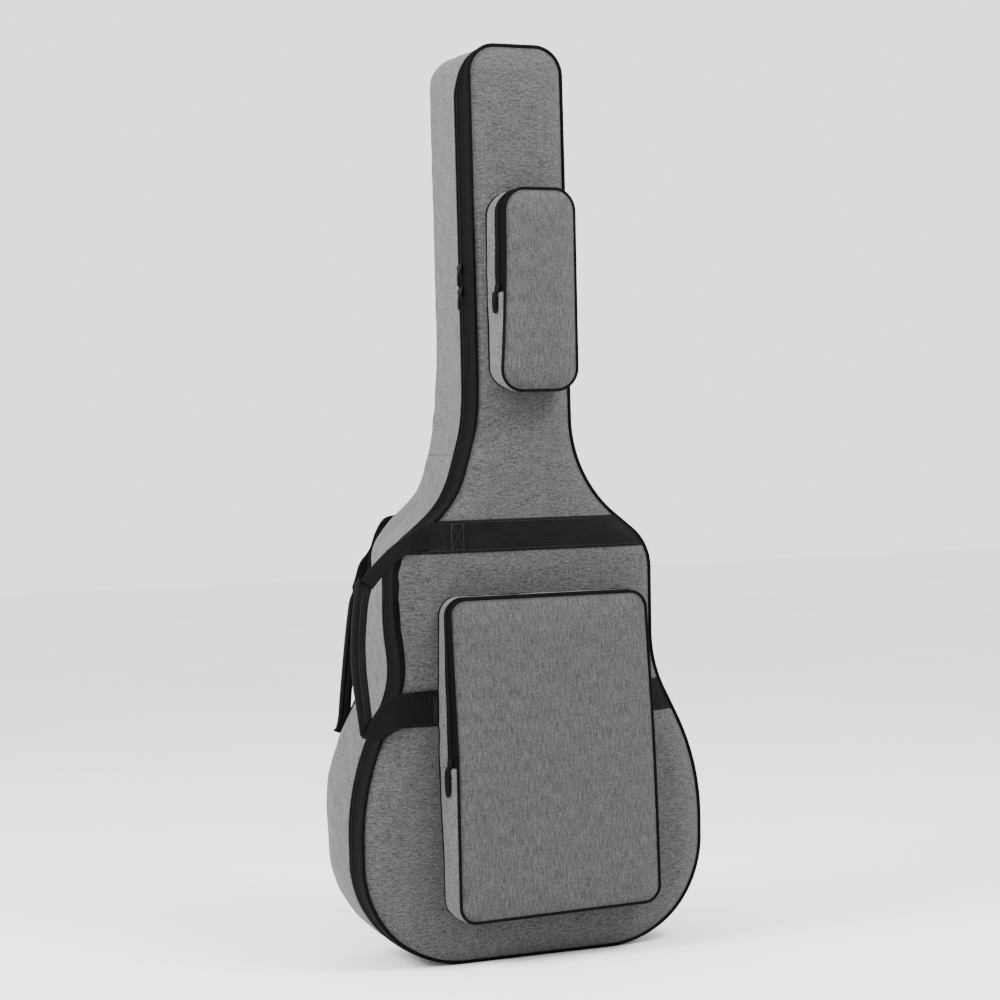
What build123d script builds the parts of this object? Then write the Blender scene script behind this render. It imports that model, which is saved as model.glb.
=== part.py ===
from build123d import *
from math import atan2, degrees, dist, hypot
import os

# A padded gig bag for a full-size acoustic guitar. Units are millimetres.
# The bag stands on its base at z = 0, its front faces -Y and x = 0 is its plane of symmetry.

# Outline of the front and back panels: half widths and the heights of their corners.
HEIGHT = 1080
LOWER_HALF = 218.5
WAIST_HALF = 157.5
UPPER_HALF = 161.5
NECK_HALF = 60
LOWER_CORNER_Z = 214
WAIST_Z = 340
SHOULDER_Z = 485
NECK_ROOT_Z = 567
BASE_RADIUS = 125
LOWER_RADIUS = 290
WAIST_RADIUS = 150
SHOULDER_RADIUS = 60
NECK_ROOT_RADIUS = 150
HEAD_RADIUS = 34

# Depths along Y. The lid is everything in front of the zipper.
FRONT_Y = -65
BACK_Y = 65
ZIP_Y = -29
ZIP_GAP = 0.6
FRONT_BULGE = 12
BACK_BULGE = 8
BULGE_SLOPE = 30

# Layers of the padded walls.
COVER = 1.5
FOAM = 8
LINING = 1
WALL = COVER + FOAM + LINING

# Main zipper: coil, tapes and the black facing that carries the lid's half.
COIL_WIDE = 2
COIL_DEEP = 2
FACING_BACK_Y = -43
SHELL_TAPE_BACK_Y = -19

# Fabric hinge on the bag's right side, where the zipper stops.
HINGE_LOW_Z = 70
HINGE_HIGH_Z = 250

# Gusset seams.
GUSSET_NECK_Z = 600
BASE_HALF = 90

PIPING = 3
WEBBING = 2
WEBBING_WIDE = 38
UPPER_WEBBING_Z = 502
LOWER_WEBBING_Z = 302

# Pockets: half width, lowest and highest z, corner radius, rim plane of the face, zipper end.
BODY_POCKET = dict(half=125, low=59, high=431, radius=20, rim_y=-115, crease_z=264, slider_z=240)
NECK_POCKET = dict(half=45.5, low=674, high=903, radius=26, rim_y=-110, crease_z=812, slider_z=790)
POCKET_BULGE = 8
POCKET_SLOPE = 16
POCKET_WALL = 1.5
POCKET_PAD = 4
POCKET_PIPING = 2.5
POCKET_ZIP_DROP = 12
POCKET_TAPE = 10
CREASE_GAP = 0.4

# Carry handles: webbing loops that swing on a vertical line beside the panels' left edge.
HANDLE_X = -156
HANDLE_GAP = 0.5
TAIL_X = -82
LOWER_TAIL_X = -127
GRIP_WIDE = 16
GRIP_THICK = 10

# Zipper sliders and pulls.
SLIDER_CLEAR = 0.5
SLIDER_PLATE = 1.6
SLIDER_WIDE = 9
SLIDER_LONG = 12
STAPLE_HIGH = 3.4
STAPLE_WIDE = 2.4
STAPLE_LONG = 6
PIN_RADIUS = 0.7
EYE_RADIUS = 1
ARM = 1.2
MAIN_SLIDERS_Z = (818, 790)
MAIN_PULL_LONG = 21
BODY_PULL_LONG = 38
NECK_PULL_LONG = 29

# Shoulder straps on the back.
PAD_WIDE = 56
PAD_THICK = 12
PAD_TOP = (36, 545)
PAD_BOTTOM = (78, 235)
STRAP_WIDE = 25
STRAP_END = (122, 66)
ADJUSTER_WIDE = 36
ADJUSTER_LONG = 24
ADJUSTER_THICK = 6
ADJUSTER_SHARE = 0.12
SLOT_CLEAR = 0.4
ANCHOR_WIDE = 46
ANCHOR_LONG = 34
YOKE_HALF = 58

HANDLE_FRONT_Y = FRONT_Y - FRONT_BULGE - 1.5 * WEBBING
HANDLE_BACK_Y = BACK_Y + BACK_BULGE + 1.5 * WEBBING
FAR = 600


def panel_face(inset=0):
    """The panel outline in the XZ plane, moved in by inset."""
    right = [
        (LOWER_HALF, 0, BASE_RADIUS),
        (LOWER_HALF, LOWER_CORNER_Z, LOWER_RADIUS),
        (WAIST_HALF, WAIST_Z, WAIST_RADIUS),
        (UPPER_HALF, SHOULDER_Z, SHOULDER_RADIUS),
        (NECK_HALF, NECK_ROOT_Z, NECK_ROOT_RADIUS),
        (NECK_HALF, HEIGHT, HEAD_RADIUS),
    ]
    corners = right + [(-x, z, r) for x, z, r in reversed(right)]
    points = [(x, z) for x, z, r in corners]
    radii = [r for x, z, r in corners]
    face = make_face(FilletPolyline(*points, radius=radii, close=True))
    if inset:
        face = offset(face, amount=-inset)
    return Plane.XZ * face


def slab(face, low_y, high_y):
    """A face of the XZ plane made solid from low_y to high_y."""
    return extrude(Pos(0, high_y, 0) * face, amount=high_y - low_y, dir=(0, -1, 0))


def ring(inner, outer, low_y, high_y):
    """A wall that follows the panel outline between two insets."""
    return slab(panel_face(outer), low_y, high_y) - slab(panel_face(inner), low_y - 1, high_y + 1)


def block(low, high):
    """A box from its lowest to its highest corner."""
    size = [b - a for a, b in zip(low, high)]
    middle = [(a + b) / 2 for a, b in zip(low, high)]
    return Pos(*middle) * Box(*size)


def domed(rim, top, rim_y, top_y, root_y):
    """A pillow: a straight side from root_y to rim_y, then a slope up to top_y."""
    slope = loft([Pos(0, rim_y, 0) * rim, Pos(0, top_y, 0) * top], ruled=True)
    return slope + slab(rim, min(rim_y, root_y), max(rim_y, root_y))


def front_dome(shift=0, inset=0):
    """The padded front's outer form, moved back by shift and in by inset."""
    rim_y = FRONT_Y + shift
    return domed(
        panel_face(inset), panel_face(BULGE_SLOPE), rim_y, rim_y - FRONT_BULGE, FRONT_Y + WALL + 1
    )


def back_dome(shift=0, inset=0):
    """The padded back's outer form, moved forward by shift and in by inset."""
    rim_y = BACK_Y - shift
    return domed(
        panel_face(inset), panel_face(BULGE_SLOPE), rim_y, rim_y + BACK_BULGE, BACK_Y - WALL - 1
    )


def front_panel():
    """Cover, foam and lining of the front, one inside the other."""
    cover = front_dome() - front_dome(COVER)
    foam = front_dome(COVER, COVER) - front_dome(COVER + FOAM, COVER)
    lining = front_dome(COVER + FOAM, COVER + LINING) - front_dome(WALL, COVER + LINING)
    return {"front_cover": cover, "front_foam": foam, "front_lining": lining}


def back_panel():
    """Cover, foam and lining of the back."""
    cover = back_dome() - back_dome(COVER)
    foam = back_dome(COVER, COVER) - back_dome(COVER + FOAM, COVER)
    lining = back_dome(COVER + FOAM, COVER + FOAM) - back_dome(WALL, COVER + FOAM)
    return {"back_cover": cover, "back_foam": foam, "back_lining": lining}


def lid_edge():
    """The lid's short side: black facing, zipper tape, half the coil, and its inner lining."""
    rim_y = FRONT_Y + COVER
    lid_coil = ring(COIL_DEEP, 0, ZIP_Y - COIL_WIDE - ZIP_GAP / 2, ZIP_Y - ZIP_GAP / 2)
    gap = block((LOWER_HALF - 60, ZIP_Y - 20, HINGE_LOW_Z), (FAR, ZIP_Y, HINGE_HIGH_Z))
    return {
        "lid_facing": ring(COVER, 0, rim_y, FACING_BACK_Y),
        "lid_zip_tape": ring(COVER, 0, FACING_BACK_Y, ZIP_Y - COIL_WIDE - ZIP_GAP / 2),
        "lid_zip_coil": lid_coil - gap,
        "lid_edge_lining": ring(COVER + LINING, COVER, rim_y + FOAM, ZIP_Y - COIL_WIDE - ZIP_GAP),
    }


def shell_edge():
    """The shell's half of the zipper, and the fabric hinge that stands in for it on the right."""
    front_y = ZIP_Y + ZIP_GAP / 2
    coil = ring(COIL_DEEP, 0, front_y, front_y + COIL_WIDE)
    tape = ring(COVER, 0, front_y + COIL_WIDE, SHELL_TAPE_BACK_Y)
    hinge_zone = block((LOWER_HALF - 60, ZIP_Y, HINGE_LOW_Z), (FAR, BACK_Y, HINGE_HIGH_Z))
    strip = ring(COVER, 0, front_y, SHELL_TAPE_BACK_Y) & hinge_zone
    return {
        "shell_zip_coil": coil - hinge_zone,
        "shell_zip_tape": tape - hinge_zone,
        "hinge_strip": strip,
    }


def gusset():
    """The shell's side wall: four cover panels, with the foam and the lining inside them."""
    low_y = SHELL_TAPE_BACK_Y
    high_y = BACK_Y - COVER
    cover = ring(COVER, 0, low_y, high_y)
    neck_zone = block((-FAR, -FAR, GUSSET_NECK_Z), (FAR, FAR, 2 * FAR))
    base_zone = block((-BASE_HALF, -FAR, -FAR), (BASE_HALF, FAR, GUSSET_NECK_Z / 4))
    left_zone = block((-FAR, -FAR, -FAR), (0, FAR, GUSSET_NECK_Z)) - base_zone
    right_zone = block((0, -FAR, -FAR), (FAR, FAR, GUSSET_NECK_Z)) - base_zone
    foam_back_y = BACK_Y - COVER - FOAM
    return {
        "gusset_neck": cover & neck_zone,
        "gusset_left": cover & left_zone,
        "gusset_right": cover & right_zone,
        "gusset_base": cover & base_zone,
        "gusset_foam": ring(COVER + FOAM, COVER, low_y, foam_back_y),
        "gusset_lining": ring(WALL, COVER + FOAM, low_y, foam_back_y - LINING),
    }


def piping():
    """The corded seam round the front panel."""
    return ring(PIPING, 0, FRONT_Y - PIPING, FRONT_Y) - front_dome()


def webbing_band(height, front, tail_x):
    """Webbing sewn across a panel, with the doubled tail that runs on to the handle."""
    low_z = height - WEBBING_WIDE / 2
    high_z = height + WEBBING_WIDE / 2
    inset = PIPING + 0.3
    if front:
        band = front_dome(-WEBBING, inset) - front_dome()
        tail_y = HANDLE_FRONT_Y
    else:
        band = back_dome(-WEBBING, inset) - back_dome()
        tail_y = HANDLE_BACK_Y
    band = band & block((-FAR, -FAR, low_z), (FAR, FAR, high_z))
    tail_low = (HANDLE_X + 1 + HANDLE_GAP, tail_y - WEBBING / 2, low_z)
    return band + block(tail_low, (tail_x, tail_y + WEBBING / 2, high_z))


def pocket_form(pocket, inset=0):
    """The pocket's outline in the XZ plane, moved in by inset."""
    wide = 2 * (pocket["half"] - inset)
    tall = pocket["high"] - pocket["low"] - 2 * inset
    middle = (pocket["high"] + pocket["low"]) / 2
    return Plane.XZ * (Pos(0, middle) * RectangleRounded(wide, tall, pocket["radius"] - inset))


def pocket_wall(pocket, low_y, high_y):
    """A stretch of the pocket's own side wall."""
    outer = slab(pocket_form(pocket), low_y, high_y)
    return outer - slab(pocket_form(pocket, POCKET_WALL), low_y - 1, high_y + 1)


def pocket_flap_zone(pocket, gap):
    """Everything on the flap's side of the diagonal crease."""
    crease = [
        (-pocket["half"] - 1, pocket["crease_z"] + gap),
        (pocket["half"] + 1, pocket["high"] + gap),
        (FAR, pocket["high"] + gap),
        (FAR, 2 * FAR),
        (-FAR, 2 * FAR),
        (-FAR, pocket["crease_z"] + gap),
    ]
    return slab(Plane.XZ * make_face(Polyline(*crease, close=True)), -FAR, FAR)


def pocket_parts(name, pocket, seat):
    """A zipped pocket: gusset, two zipper halves, face, folding flap and corded edge."""
    rim_y = pocket["rim_y"]
    zip_y = rim_y + POCKET_ZIP_DROP
    flap_zone = pocket_flap_zone(pocket, CREASE_GAP)
    rest_zone = block((-FAR, -FAR, -FAR), (FAR, FAR, 2 * FAR)) - pocket_flap_zone(pocket, 0)
    form = domed(
        pocket_form(pocket), pocket_form(pocket, POCKET_SLOPE), rim_y, rim_y - POCKET_BULGE, rim_y + 5
    )
    pad = form - Pos(0, POCKET_PAD, 0) * form
    inner_y = rim_y + POCKET_PAD
    cord_form = slab(pocket_form(pocket), rim_y - POCKET_PIPING, rim_y)
    cord = cord_form - slab(pocket_form(pocket, POCKET_PIPING), rim_y - FAR, rim_y + 1) - form
    side = pocket_wall(pocket, inner_y + 0.1, FRONT_Y)
    zip_front = pocket_wall(pocket, inner_y + 0.1, zip_y - ZIP_GAP / 2) & flap_zone
    zip_back = pocket_wall(pocket, zip_y + ZIP_GAP / 2, zip_y + POCKET_TAPE) & flap_zone
    open_band = pocket_wall(pocket, rim_y, zip_y + POCKET_TAPE) & pocket_flap_zone(pocket, 0)
    return {
        name + "_gusset": side - open_band - seat,
        name + "_zip_base": zip_back,
        name + "_zip_flap": zip_front,
        name + "_face": pad & rest_zone,
        name + "_flap": pad & flap_zone,
        name + "_piping_face": cord & rest_zone,
        name + "_piping_flap": cord & flap_zone,
    }


def slider_and_pull(x, y, z, pull_long):
    """A zipper slider on a wall that faces -X, with its pull hanging from the staple."""
    plate_x = x - SLIDER_CLEAR - SLIDER_PLATE
    plate = block(
        (plate_x, y - SLIDER_WIDE / 2, z - SLIDER_LONG / 2),
        (plate_x + SLIDER_PLATE, y + SLIDER_WIDE / 2, z + SLIDER_LONG / 2),
    )
    staple = block(
        (plate_x - STAPLE_HIGH, y - STAPLE_WIDE / 2, z - STAPLE_LONG / 2),
        (plate_x, y + STAPLE_WIDE / 2, z + STAPLE_LONG / 2),
    )
    pin_x = plate_x - STAPLE_HIGH / 2
    eye = Pos(pin_x, y, z) * Rot(90, 0, 0) * Cylinder(EYE_RADIUS, SLIDER_WIDE)
    arm_y = STAPLE_WIDE / 2 + 0.4
    wide_y = arm_y + ARM
    pin = Pos(pin_x, y, z) * Rot(90, 0, 0) * Cylinder(PIN_RADIUS, 2 * wide_y)
    tab_top = z - STAPLE_LONG / 2 - 1
    arms = block((pin_x - ARM / 2, y - wide_y, tab_top), (pin_x + ARM / 2, y + wide_y, z + ARM / 2))
    arms = arms - block((pin_x - FAR, y - arm_y, tab_top - 1), (pin_x + FAR, y + arm_y, z + 9))
    tab = block(
        (pin_x - ARM / 2, y - wide_y, z - pull_long), (pin_x + ARM / 2, y + wide_y, tab_top + 0.2)
    )
    return plate + (staple - eye), pin + arms + tab


def main_sliders():
    """Two sliders head to head on the left of the neck, with their pulls."""
    upper_z, lower_z = MAIN_SLIDERS_Z
    upper, upper_pull = slider_and_pull(-NECK_HALF, ZIP_Y, upper_z, MAIN_PULL_LONG)
    lower, lower_pull = slider_and_pull(-NECK_HALF, ZIP_Y, lower_z, MAIN_PULL_LONG)
    return {
        "main_slider_upper": upper,
        "main_pull_upper": upper_pull,
        "main_slider_lower": lower,
        "main_pull_lower": lower_pull,
    }


def pocket_slider(name, pocket, pull_long):
    """A pocket's slider and pull, parked at the lower left end of its zipper."""
    zip_y = pocket["rim_y"] + POCKET_ZIP_DROP
    slider, pull = slider_and_pull(-pocket["half"], zip_y, pocket["slider_z"], pull_long)
    return {name + "_slider": slider, name + "_pull": pull}


def handle(loop_corners, grip_x, grip_low, grip_high, plate_y):
    """A carry handle: a flat webbing loop whose middle is folded into a thick grip."""
    points = [(x, z) for x, z, r in loop_corners]
    radii = [r for x, z, r in loop_corners]
    loop = Plane.XZ * make_face(FilletPolyline(*points, radius=radii, close=True))
    plate = slab(loop, plate_y - WEBBING / 2, plate_y + WEBBING / 2)
    grip = block(
        (grip_x - GRIP_WIDE / 2, plate_y - GRIP_THICK / 2, grip_low),
        (grip_x + GRIP_WIDE / 2, plate_y + GRIP_THICK / 2, grip_high),
    )
    grip = fillet(grip.edges().filter_by(Axis.Z), GRIP_THICK * 0.4)
    return plate + grip


def front_handle():
    """The handle on the lid's left edge."""
    root = HANDLE_X + 1
    corners = [
        (root, 521, 1),
        (-160, 508, 20),
        (-221, 462, 14),
        (-229, 365, 80),
        (-221, 272, 6),
        (-203, 270, 6),
        (-172, 283, 20),
        (root, 283, 1),
        (root, 321, 1),
        (-190, 321, 10),
        (-205, 300, 10),
        (-213, 365, 80),
        (-205, 440, 14),
        (-166, 483, 12),
        (root, 483, 1),
    ]
    return handle(corners, -219.5, 315, 440, HANDLE_FRONT_Y)


def rear_handle():
    """The handle on the shell's left edge, hanging a little closer to the bag."""
    root = HANDLE_X + 1
    corners = [
        (root, 521, 1),
        (-172, 480, 20),
        (-190, 440, 14),
        (-200, 345, 80),
        (-206, 272, 6),
        (-188, 264, 6),
        (-172, 283, 10),
        (root, 283, 1),
        (root, 321, 1),
        (-172, 321, 5),
        (-186, 300, 5),
        (-185, 345, 80),
        (-174, 430, 14),
        (-162, 460, 6),
        (root, 483, 1),
    ]
    return handle(corners, -190.5, 315, 420, HANDLE_BACK_Y)


def along(start, end, wide, thick, low_y):
    """A flat bar of the back's plane, from start to end, as wide and thick as stated."""
    run_x = end[0] - start[0]
    run_z = end[1] - start[1]
    turn = degrees(atan2(run_x, run_z))
    middle = Pos((start[0] + end[0]) / 2, low_y + thick / 2, (start[1] + end[1]) / 2)
    return middle * Rot(0, turn, 0) * Box(wide, thick, hypot(run_x, run_z))


def part_way(start, end, share):
    """The point at a share of the way from start to end."""
    return tuple(a + (b - a) * share for a, b in zip(start, end))


def strap_parts(side, mirror):
    """One shoulder strap: pad, webbing, sliding adjuster and the tab at its lower end."""
    seat_y = BACK_Y + BACK_BULGE
    pad_y = seat_y + WEBBING + 0.5
    webbing_y = pad_y + WEBBING
    top = (PAD_TOP[0] * mirror, PAD_TOP[1])
    bottom = (PAD_BOTTOM[0] * mirror, PAD_BOTTOM[1])
    end = (STRAP_END[0] * mirror, STRAP_END[1])
    pad = along(bottom, top, PAD_WIDE, PAD_THICK, pad_y)
    pad = fillet(pad.edges().filter_by(Axis.Y), PAD_WIDE * 0.35)
    webbing = along(end, bottom, STRAP_WIDE, WEBBING, webbing_y) - pad
    high = part_way(bottom, end, ADJUSTER_SHARE)
    low = part_way(bottom, end, ADJUSTER_SHARE + ADJUSTER_LONG / dist(bottom, end))
    slot_y = webbing_y - SLOT_CLEAR
    body = along(low, high, ADJUSTER_WIDE, ADJUSTER_THICK, webbing_y - ADJUSTER_THICK / 2 + 1)
    slot = along(end, bottom, STRAP_WIDE + 2 * SLOT_CLEAR, WEBBING + 2 * SLOT_CLEAR, slot_y)
    anchor_top = part_way(end, bottom, ANCHOR_LONG / dist(bottom, end))
    anchor = along(end, anchor_top, ANCHOR_WIDE, webbing_y - seat_y, seat_y)
    return {
        "strap_pad_" + side: pad,
        "strap_webbing_" + side: webbing,
        "strap_adjuster_" + side: body - slot,
        "strap_anchor_" + side: anchor,
    }


def strap_yoke():
    """The patch behind the tops of the two shoulder straps."""
    patch = back_dome(-WEBBING) - back_dome()
    return patch & block((-YOKE_HALF, 0, PAD_TOP[1] - 15), (YOKE_HALF, FAR, PAD_TOP[1] + 25))


def gig_bag():
    """Every piece of the bag, by node name."""
    upper_webbing = webbing_band(UPPER_WEBBING_Z, True, TAIL_X)
    lower_webbing = webbing_band(LOWER_WEBBING_Z, True, LOWER_TAIL_X)
    pieces = {
        "front_piping": piping(),
        "webbing_upper": upper_webbing,
        "webbing_lower": lower_webbing,
        "back_webbing_upper": webbing_band(UPPER_WEBBING_Z, False, TAIL_X),
        "back_webbing_lower": webbing_band(LOWER_WEBBING_Z, False, LOWER_TAIL_X),
        "front_handle": front_handle(),
        "rear_handle": rear_handle(),
        "strap_yoke": strap_yoke(),
    }
    pieces.update(front_panel())
    pieces.update(back_panel())
    pieces.update(lid_edge())
    pieces.update(shell_edge())
    pieces.update(gusset())
    pieces.update(pocket_parts("body_pocket", BODY_POCKET, front_dome() + lower_webbing))
    pieces.update(pocket_parts("neck_pocket", NECK_POCKET, front_dome()))
    pieces.update(main_sliders())
    pieces.update(pocket_slider("body_pocket", BODY_POCKET, BODY_PULL_LONG))
    pieces.update(pocket_slider("neck_pocket", NECK_POCKET, NECK_PULL_LONG))
    pieces.update(strap_parts("left", -1))
    pieces.update(strap_parts("right", 1))
    return pieces


os.makedirs("parts", exist_ok=True)
for name, piece in gig_bag().items():
    export_step(piece, "parts/" + name + ".step")
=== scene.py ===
import math

import bpy
import numpy as np
from mathutils import Matrix, Vector


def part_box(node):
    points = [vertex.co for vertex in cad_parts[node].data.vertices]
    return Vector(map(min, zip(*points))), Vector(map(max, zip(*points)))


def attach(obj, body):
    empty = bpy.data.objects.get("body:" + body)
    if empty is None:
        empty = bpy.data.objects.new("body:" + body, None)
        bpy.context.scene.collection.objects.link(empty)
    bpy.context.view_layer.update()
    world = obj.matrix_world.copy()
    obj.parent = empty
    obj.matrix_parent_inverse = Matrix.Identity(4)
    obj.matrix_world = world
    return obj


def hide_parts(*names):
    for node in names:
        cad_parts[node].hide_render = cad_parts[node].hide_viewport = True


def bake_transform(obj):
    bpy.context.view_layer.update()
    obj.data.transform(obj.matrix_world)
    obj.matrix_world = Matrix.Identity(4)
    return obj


# A padded gig bag. Shapes are worked out in millimetres and turned into metres when a mesh is made.

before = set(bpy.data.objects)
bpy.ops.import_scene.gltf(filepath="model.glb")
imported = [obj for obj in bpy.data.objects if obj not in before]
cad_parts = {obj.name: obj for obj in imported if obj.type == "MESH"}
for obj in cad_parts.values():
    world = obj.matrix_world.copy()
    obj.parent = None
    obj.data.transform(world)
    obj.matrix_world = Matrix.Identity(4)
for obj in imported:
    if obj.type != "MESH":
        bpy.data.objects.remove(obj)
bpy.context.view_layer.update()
MM = 0.001


def node_box(name):
    """A CAD node's lowest and highest corners, in millimetres."""
    low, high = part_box(name)
    return np.array(low) / MM, np.array(high) / MM


def node_middle(name):
    low, high = node_box(name)
    return (low + high) / 2


# The bag's outline: half width, height and corner radius, as the CAD model has them.
OUTLINE = [
    (218.5, 0, 125),
    (218.5, 214, 290),
    (157.5, 340, 150),
    (161.5, 485, 60),
    (60, 567, 150),
    (60, 1080, 34),
]
OUTLINE_STEP = 3.0
FRONT_Y = node_box("front_piping")[1][1]
BACK_Y = node_box("gusset_neck")[1][1] + 1.5
ZIP_Y = (node_box("lid_zip_coil")[1][1] + node_box("shell_zip_coil")[0][1]) / 2
TAPE_BACK_Y = node_box("gusset_neck")[0][1]
FACING_BACK_Y = node_box("lid_facing")[1][1]
HINGE_LOW_Z, HINGE_HIGH_Z = node_box("hinge_strip")[0][2], node_box("hinge_strip")[1][2]
FRONT_PUFF = 14.0
BACK_PUFF = 9.5
PUFF_SLOPE = 44.0
PIPING_RADIUS = 2.3
BACK_ROUND = 11.0
FABRIC = 1.2
TAPE_CLOTH = 0.7
LINING_CLOTH = 0.6
MAIN_COIL_HALF = 2.3
POCKET_COIL_HALF = 2.1
PAD_HALF_WIDE = 27.0
STRAP_HALF_WIDE = 12.5


# --- curves and noise


def unit(v):
    return v / np.linalg.norm(v, axis=-1, keepdims=True)


def distances(points):
    """How far along a polyline each of its points is."""
    return np.concatenate([[0], np.cumsum(np.linalg.norm(np.diff(points, axis=0), axis=1))])


def resampled(points, step, closed=True):
    """Evenly spaced points along a polyline, with their distances from its start."""
    if closed:
        points = np.vstack([points, points[:1]])
    along = distances(points)
    count = max(4, int(round(along[-1] / step)))
    wanted = np.linspace(0, along[-1], count + 1)
    if closed:
        wanted = wanted[:-1]
    columns = [np.interp(wanted, along, points[:, k]) for k in range(points.shape[1])]
    return np.stack(columns, axis=1), wanted


def filleted(corners, step):
    """Points round a closed polygon of (x, z, radius) corners, each corner an arc."""
    out = []
    spots = np.array([c[:2] for c in corners], float)
    for i, (x, z, radius) in enumerate(corners):
        here = spots[i]
        back = unit(spots[i - 1] - here)
        ahead = unit(spots[(i + 1) % len(corners)] - here)
        turn = math.pi - math.acos(np.clip(back @ ahead, -1, 1))
        centre = here + unit(back + ahead) * radius / math.cos(turn / 2)
        first = here + back * radius * math.tan(turn / 2) - centre
        sign = 1 if back[0] * ahead[1] - back[1] * ahead[0] < 0 else -1
        for share in np.linspace(0, 1, max(2, int(radius * turn / step) + 1)):
            a = sign * turn * share
            spin = np.array([[math.cos(a), -math.sin(a)], [math.sin(a), math.cos(a)]])
            out.append(centre + spin @ first)
    return np.array(out)


def spread(u, v):
    """UVs over a grid from one array for each axis."""
    return np.stack(np.broadcast_arrays(u, v), axis=-1)


def full_turn(steps):
    return np.linspace(0, 2 * math.pi, steps, endpoint=False)


class Loop:
    """A closed curve in the XZ plane with its outward normals and running length."""

    def __init__(self, corners, step, start):
        points, _ = resampled(filleted(corners, step / 2), step)
        first = np.argmin(np.linalg.norm(points - np.array(start), axis=1))
        self.points = np.roll(points, -first, axis=0)
        runs = np.linalg.norm(np.roll(self.points, -1, axis=0) - self.points, axis=1)
        self.along = np.concatenate([[0], np.cumsum(runs)[:-1]])
        self.length = runs.sum()
        tangent = unit(np.roll(self.points, -1, axis=0) - np.roll(self.points, 1, axis=0))
        self.normal = np.stack([tangent[:, 1], -tangent[:, 0]], axis=1)

    def part(self, keep):
        """The indices where keep is true, as one run that reaches the next part's first point."""
        flags = keep(self.points[:, 0], self.points[:, 1])
        if flags.all():
            return np.arange(len(flags))
        first = int(np.argmin(flags))
        order = np.roll(np.arange(len(flags)), -first)
        chosen = order[flags[order]]
        return np.append(chosen, (chosen[-1] + 1) % len(flags))

    def depth(self, x, z):
        """How far inside the curve each point is."""
        spots = np.stack([np.ravel(x), np.ravel(z)], axis=1)
        out = np.empty(len(spots))
        for first in range(0, len(spots), 4000):
            block = spots[first : first + 4000]
            gaps = np.linalg.norm(block[:, None] - self.points[None], axis=2)
            nearest = gaps.argmin(axis=1)
            inward = np.einsum("ij,ij->i", self.points[nearest] - block, self.normal[nearest])
            out[first : first + 4000] = np.sign(inward) * gaps.min(axis=1)
        return out.reshape(np.shape(x))

    def rows(self, inset=0.0):
        """The right-hand points from the base to the top, moved in: one for each row of a panel."""
        half = np.arange(len(self.points) // 2 + 1)
        spots = self.points[half] - self.normal[half] * inset
        rising = np.concatenate([[True], np.diff(self.points[half, 1]) > 1e-3])
        rising[0] = False
        chosen = half[rising]
        return spots[chosen]


def noise(points, size, seed):
    """Smooth noise from -1 to 1 whose features are about size across (a number or three)."""
    table = np.random.RandomState(seed).uniform(-1, 1, (32, 32, 32))
    scaled = points / np.array(size, float)
    base = np.floor(scaled).astype(int)
    share = scaled - base
    share = share * share * (3 - 2 * share)
    total = 0
    for corner in np.ndindex(2, 2, 2):
        spot = (base + corner) % 32
        weight = np.prod(np.where(corner, share, 1 - share), axis=-1)
        total = total + weight * table[spot[..., 0], spot[..., 1], spot[..., 2]]
    return total


def plan(x, z, y=0):
    """Points at a grid's x and z, all at one y, written x, z, y for the noise."""
    return np.stack([x, z, 0 * x + y], axis=-1)


def smooth(x):
    x = np.clip(x, 0, 1)
    return x * x * (3 - 2 * x)


def hump(value, centre, width):
    """A bell of height 1 at centre."""
    return np.exp(-(((value - centre) / width) ** 2))


def bulges(value, rows):
    """The sum of several humps, from (centre, width, height) rows."""
    return sum(height * hump(value, centre, width) for centre, width, height in rows)


# --- meshes

# Where the bag's left side sways outward, and where its rear edge differs: (z, reach, shift).
SWAY = [(428, 48, 10.0), (375, 40, 5.5), (472, 28, 5.0), (595, 45, 7.5)]
REAR_SWAY = [(640, 60, 5.0), (362, 38, 4.0), (250, 62, 5.5), (464, 33, -20.0)]
HALF_WIDTH_Z = [0, 340, 480, 570, 1080]
HALF_WIDTHS = [190, 157, 160, 60, 60]


def slumped(points):
    """The way the soft bag hangs: its left side, its rear lower edge and its zipper near the top."""
    x, y, z = (np.array(points[..., k], float) for k in range(3))
    side = smooth(-x / (0.5 * np.interp(z, HALF_WIDTH_Z, HALF_WIDTHS)))
    behind = np.clip((y - ZIP_Y) / (BACK_Y - ZIP_Y), 0, 1) ** 1.3
    loose = smooth((-x - 150) / 14) * (abs(y) > 68)
    sway, rear_sway = bulges(z, SWAY), bulges(z, REAR_SWAY)
    on_bag = (1 - loose) * smooth((y - FRONT_Y + 13) / 9)
    x = x - on_bag * (side ** (2 + 4 * behind) * sway + side**6 * behind * rear_sway)
    x = x + 3.5 * smooth(x / 150) * hump(z, 240, 170)
    shoulder = 8.0 * side**4 * on_bag * behind * hump(z, 525, 40)
    z = z + 13.0 * behind * hump(z, 0, 75.0) + shoulder
    x = x * (1 - 0.05 * behind * hump(z, 0, 120.0))
    band_y = TAPE_BACK_Y - 26.0 * smooth((z - 1022) / 50) - 7.0 * hump(z, 445, 60)
    front = FRONT_Y + (y - FRONT_Y) * (band_y - FRONT_Y) / (TAPE_BACK_Y - FRONT_Y)
    back = band_y + (y - TAPE_BACK_Y) * (BACK_Y - band_y) / (BACK_Y - TAPE_BACK_Y)
    inside = (points[..., 1] > FRONT_Y) & (points[..., 1] < BACK_Y)
    y = np.where(inside, np.where(points[..., 1] < TAPE_BACK_Y, front, back), y)
    return np.stack([x, y, z], axis=-1)


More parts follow.
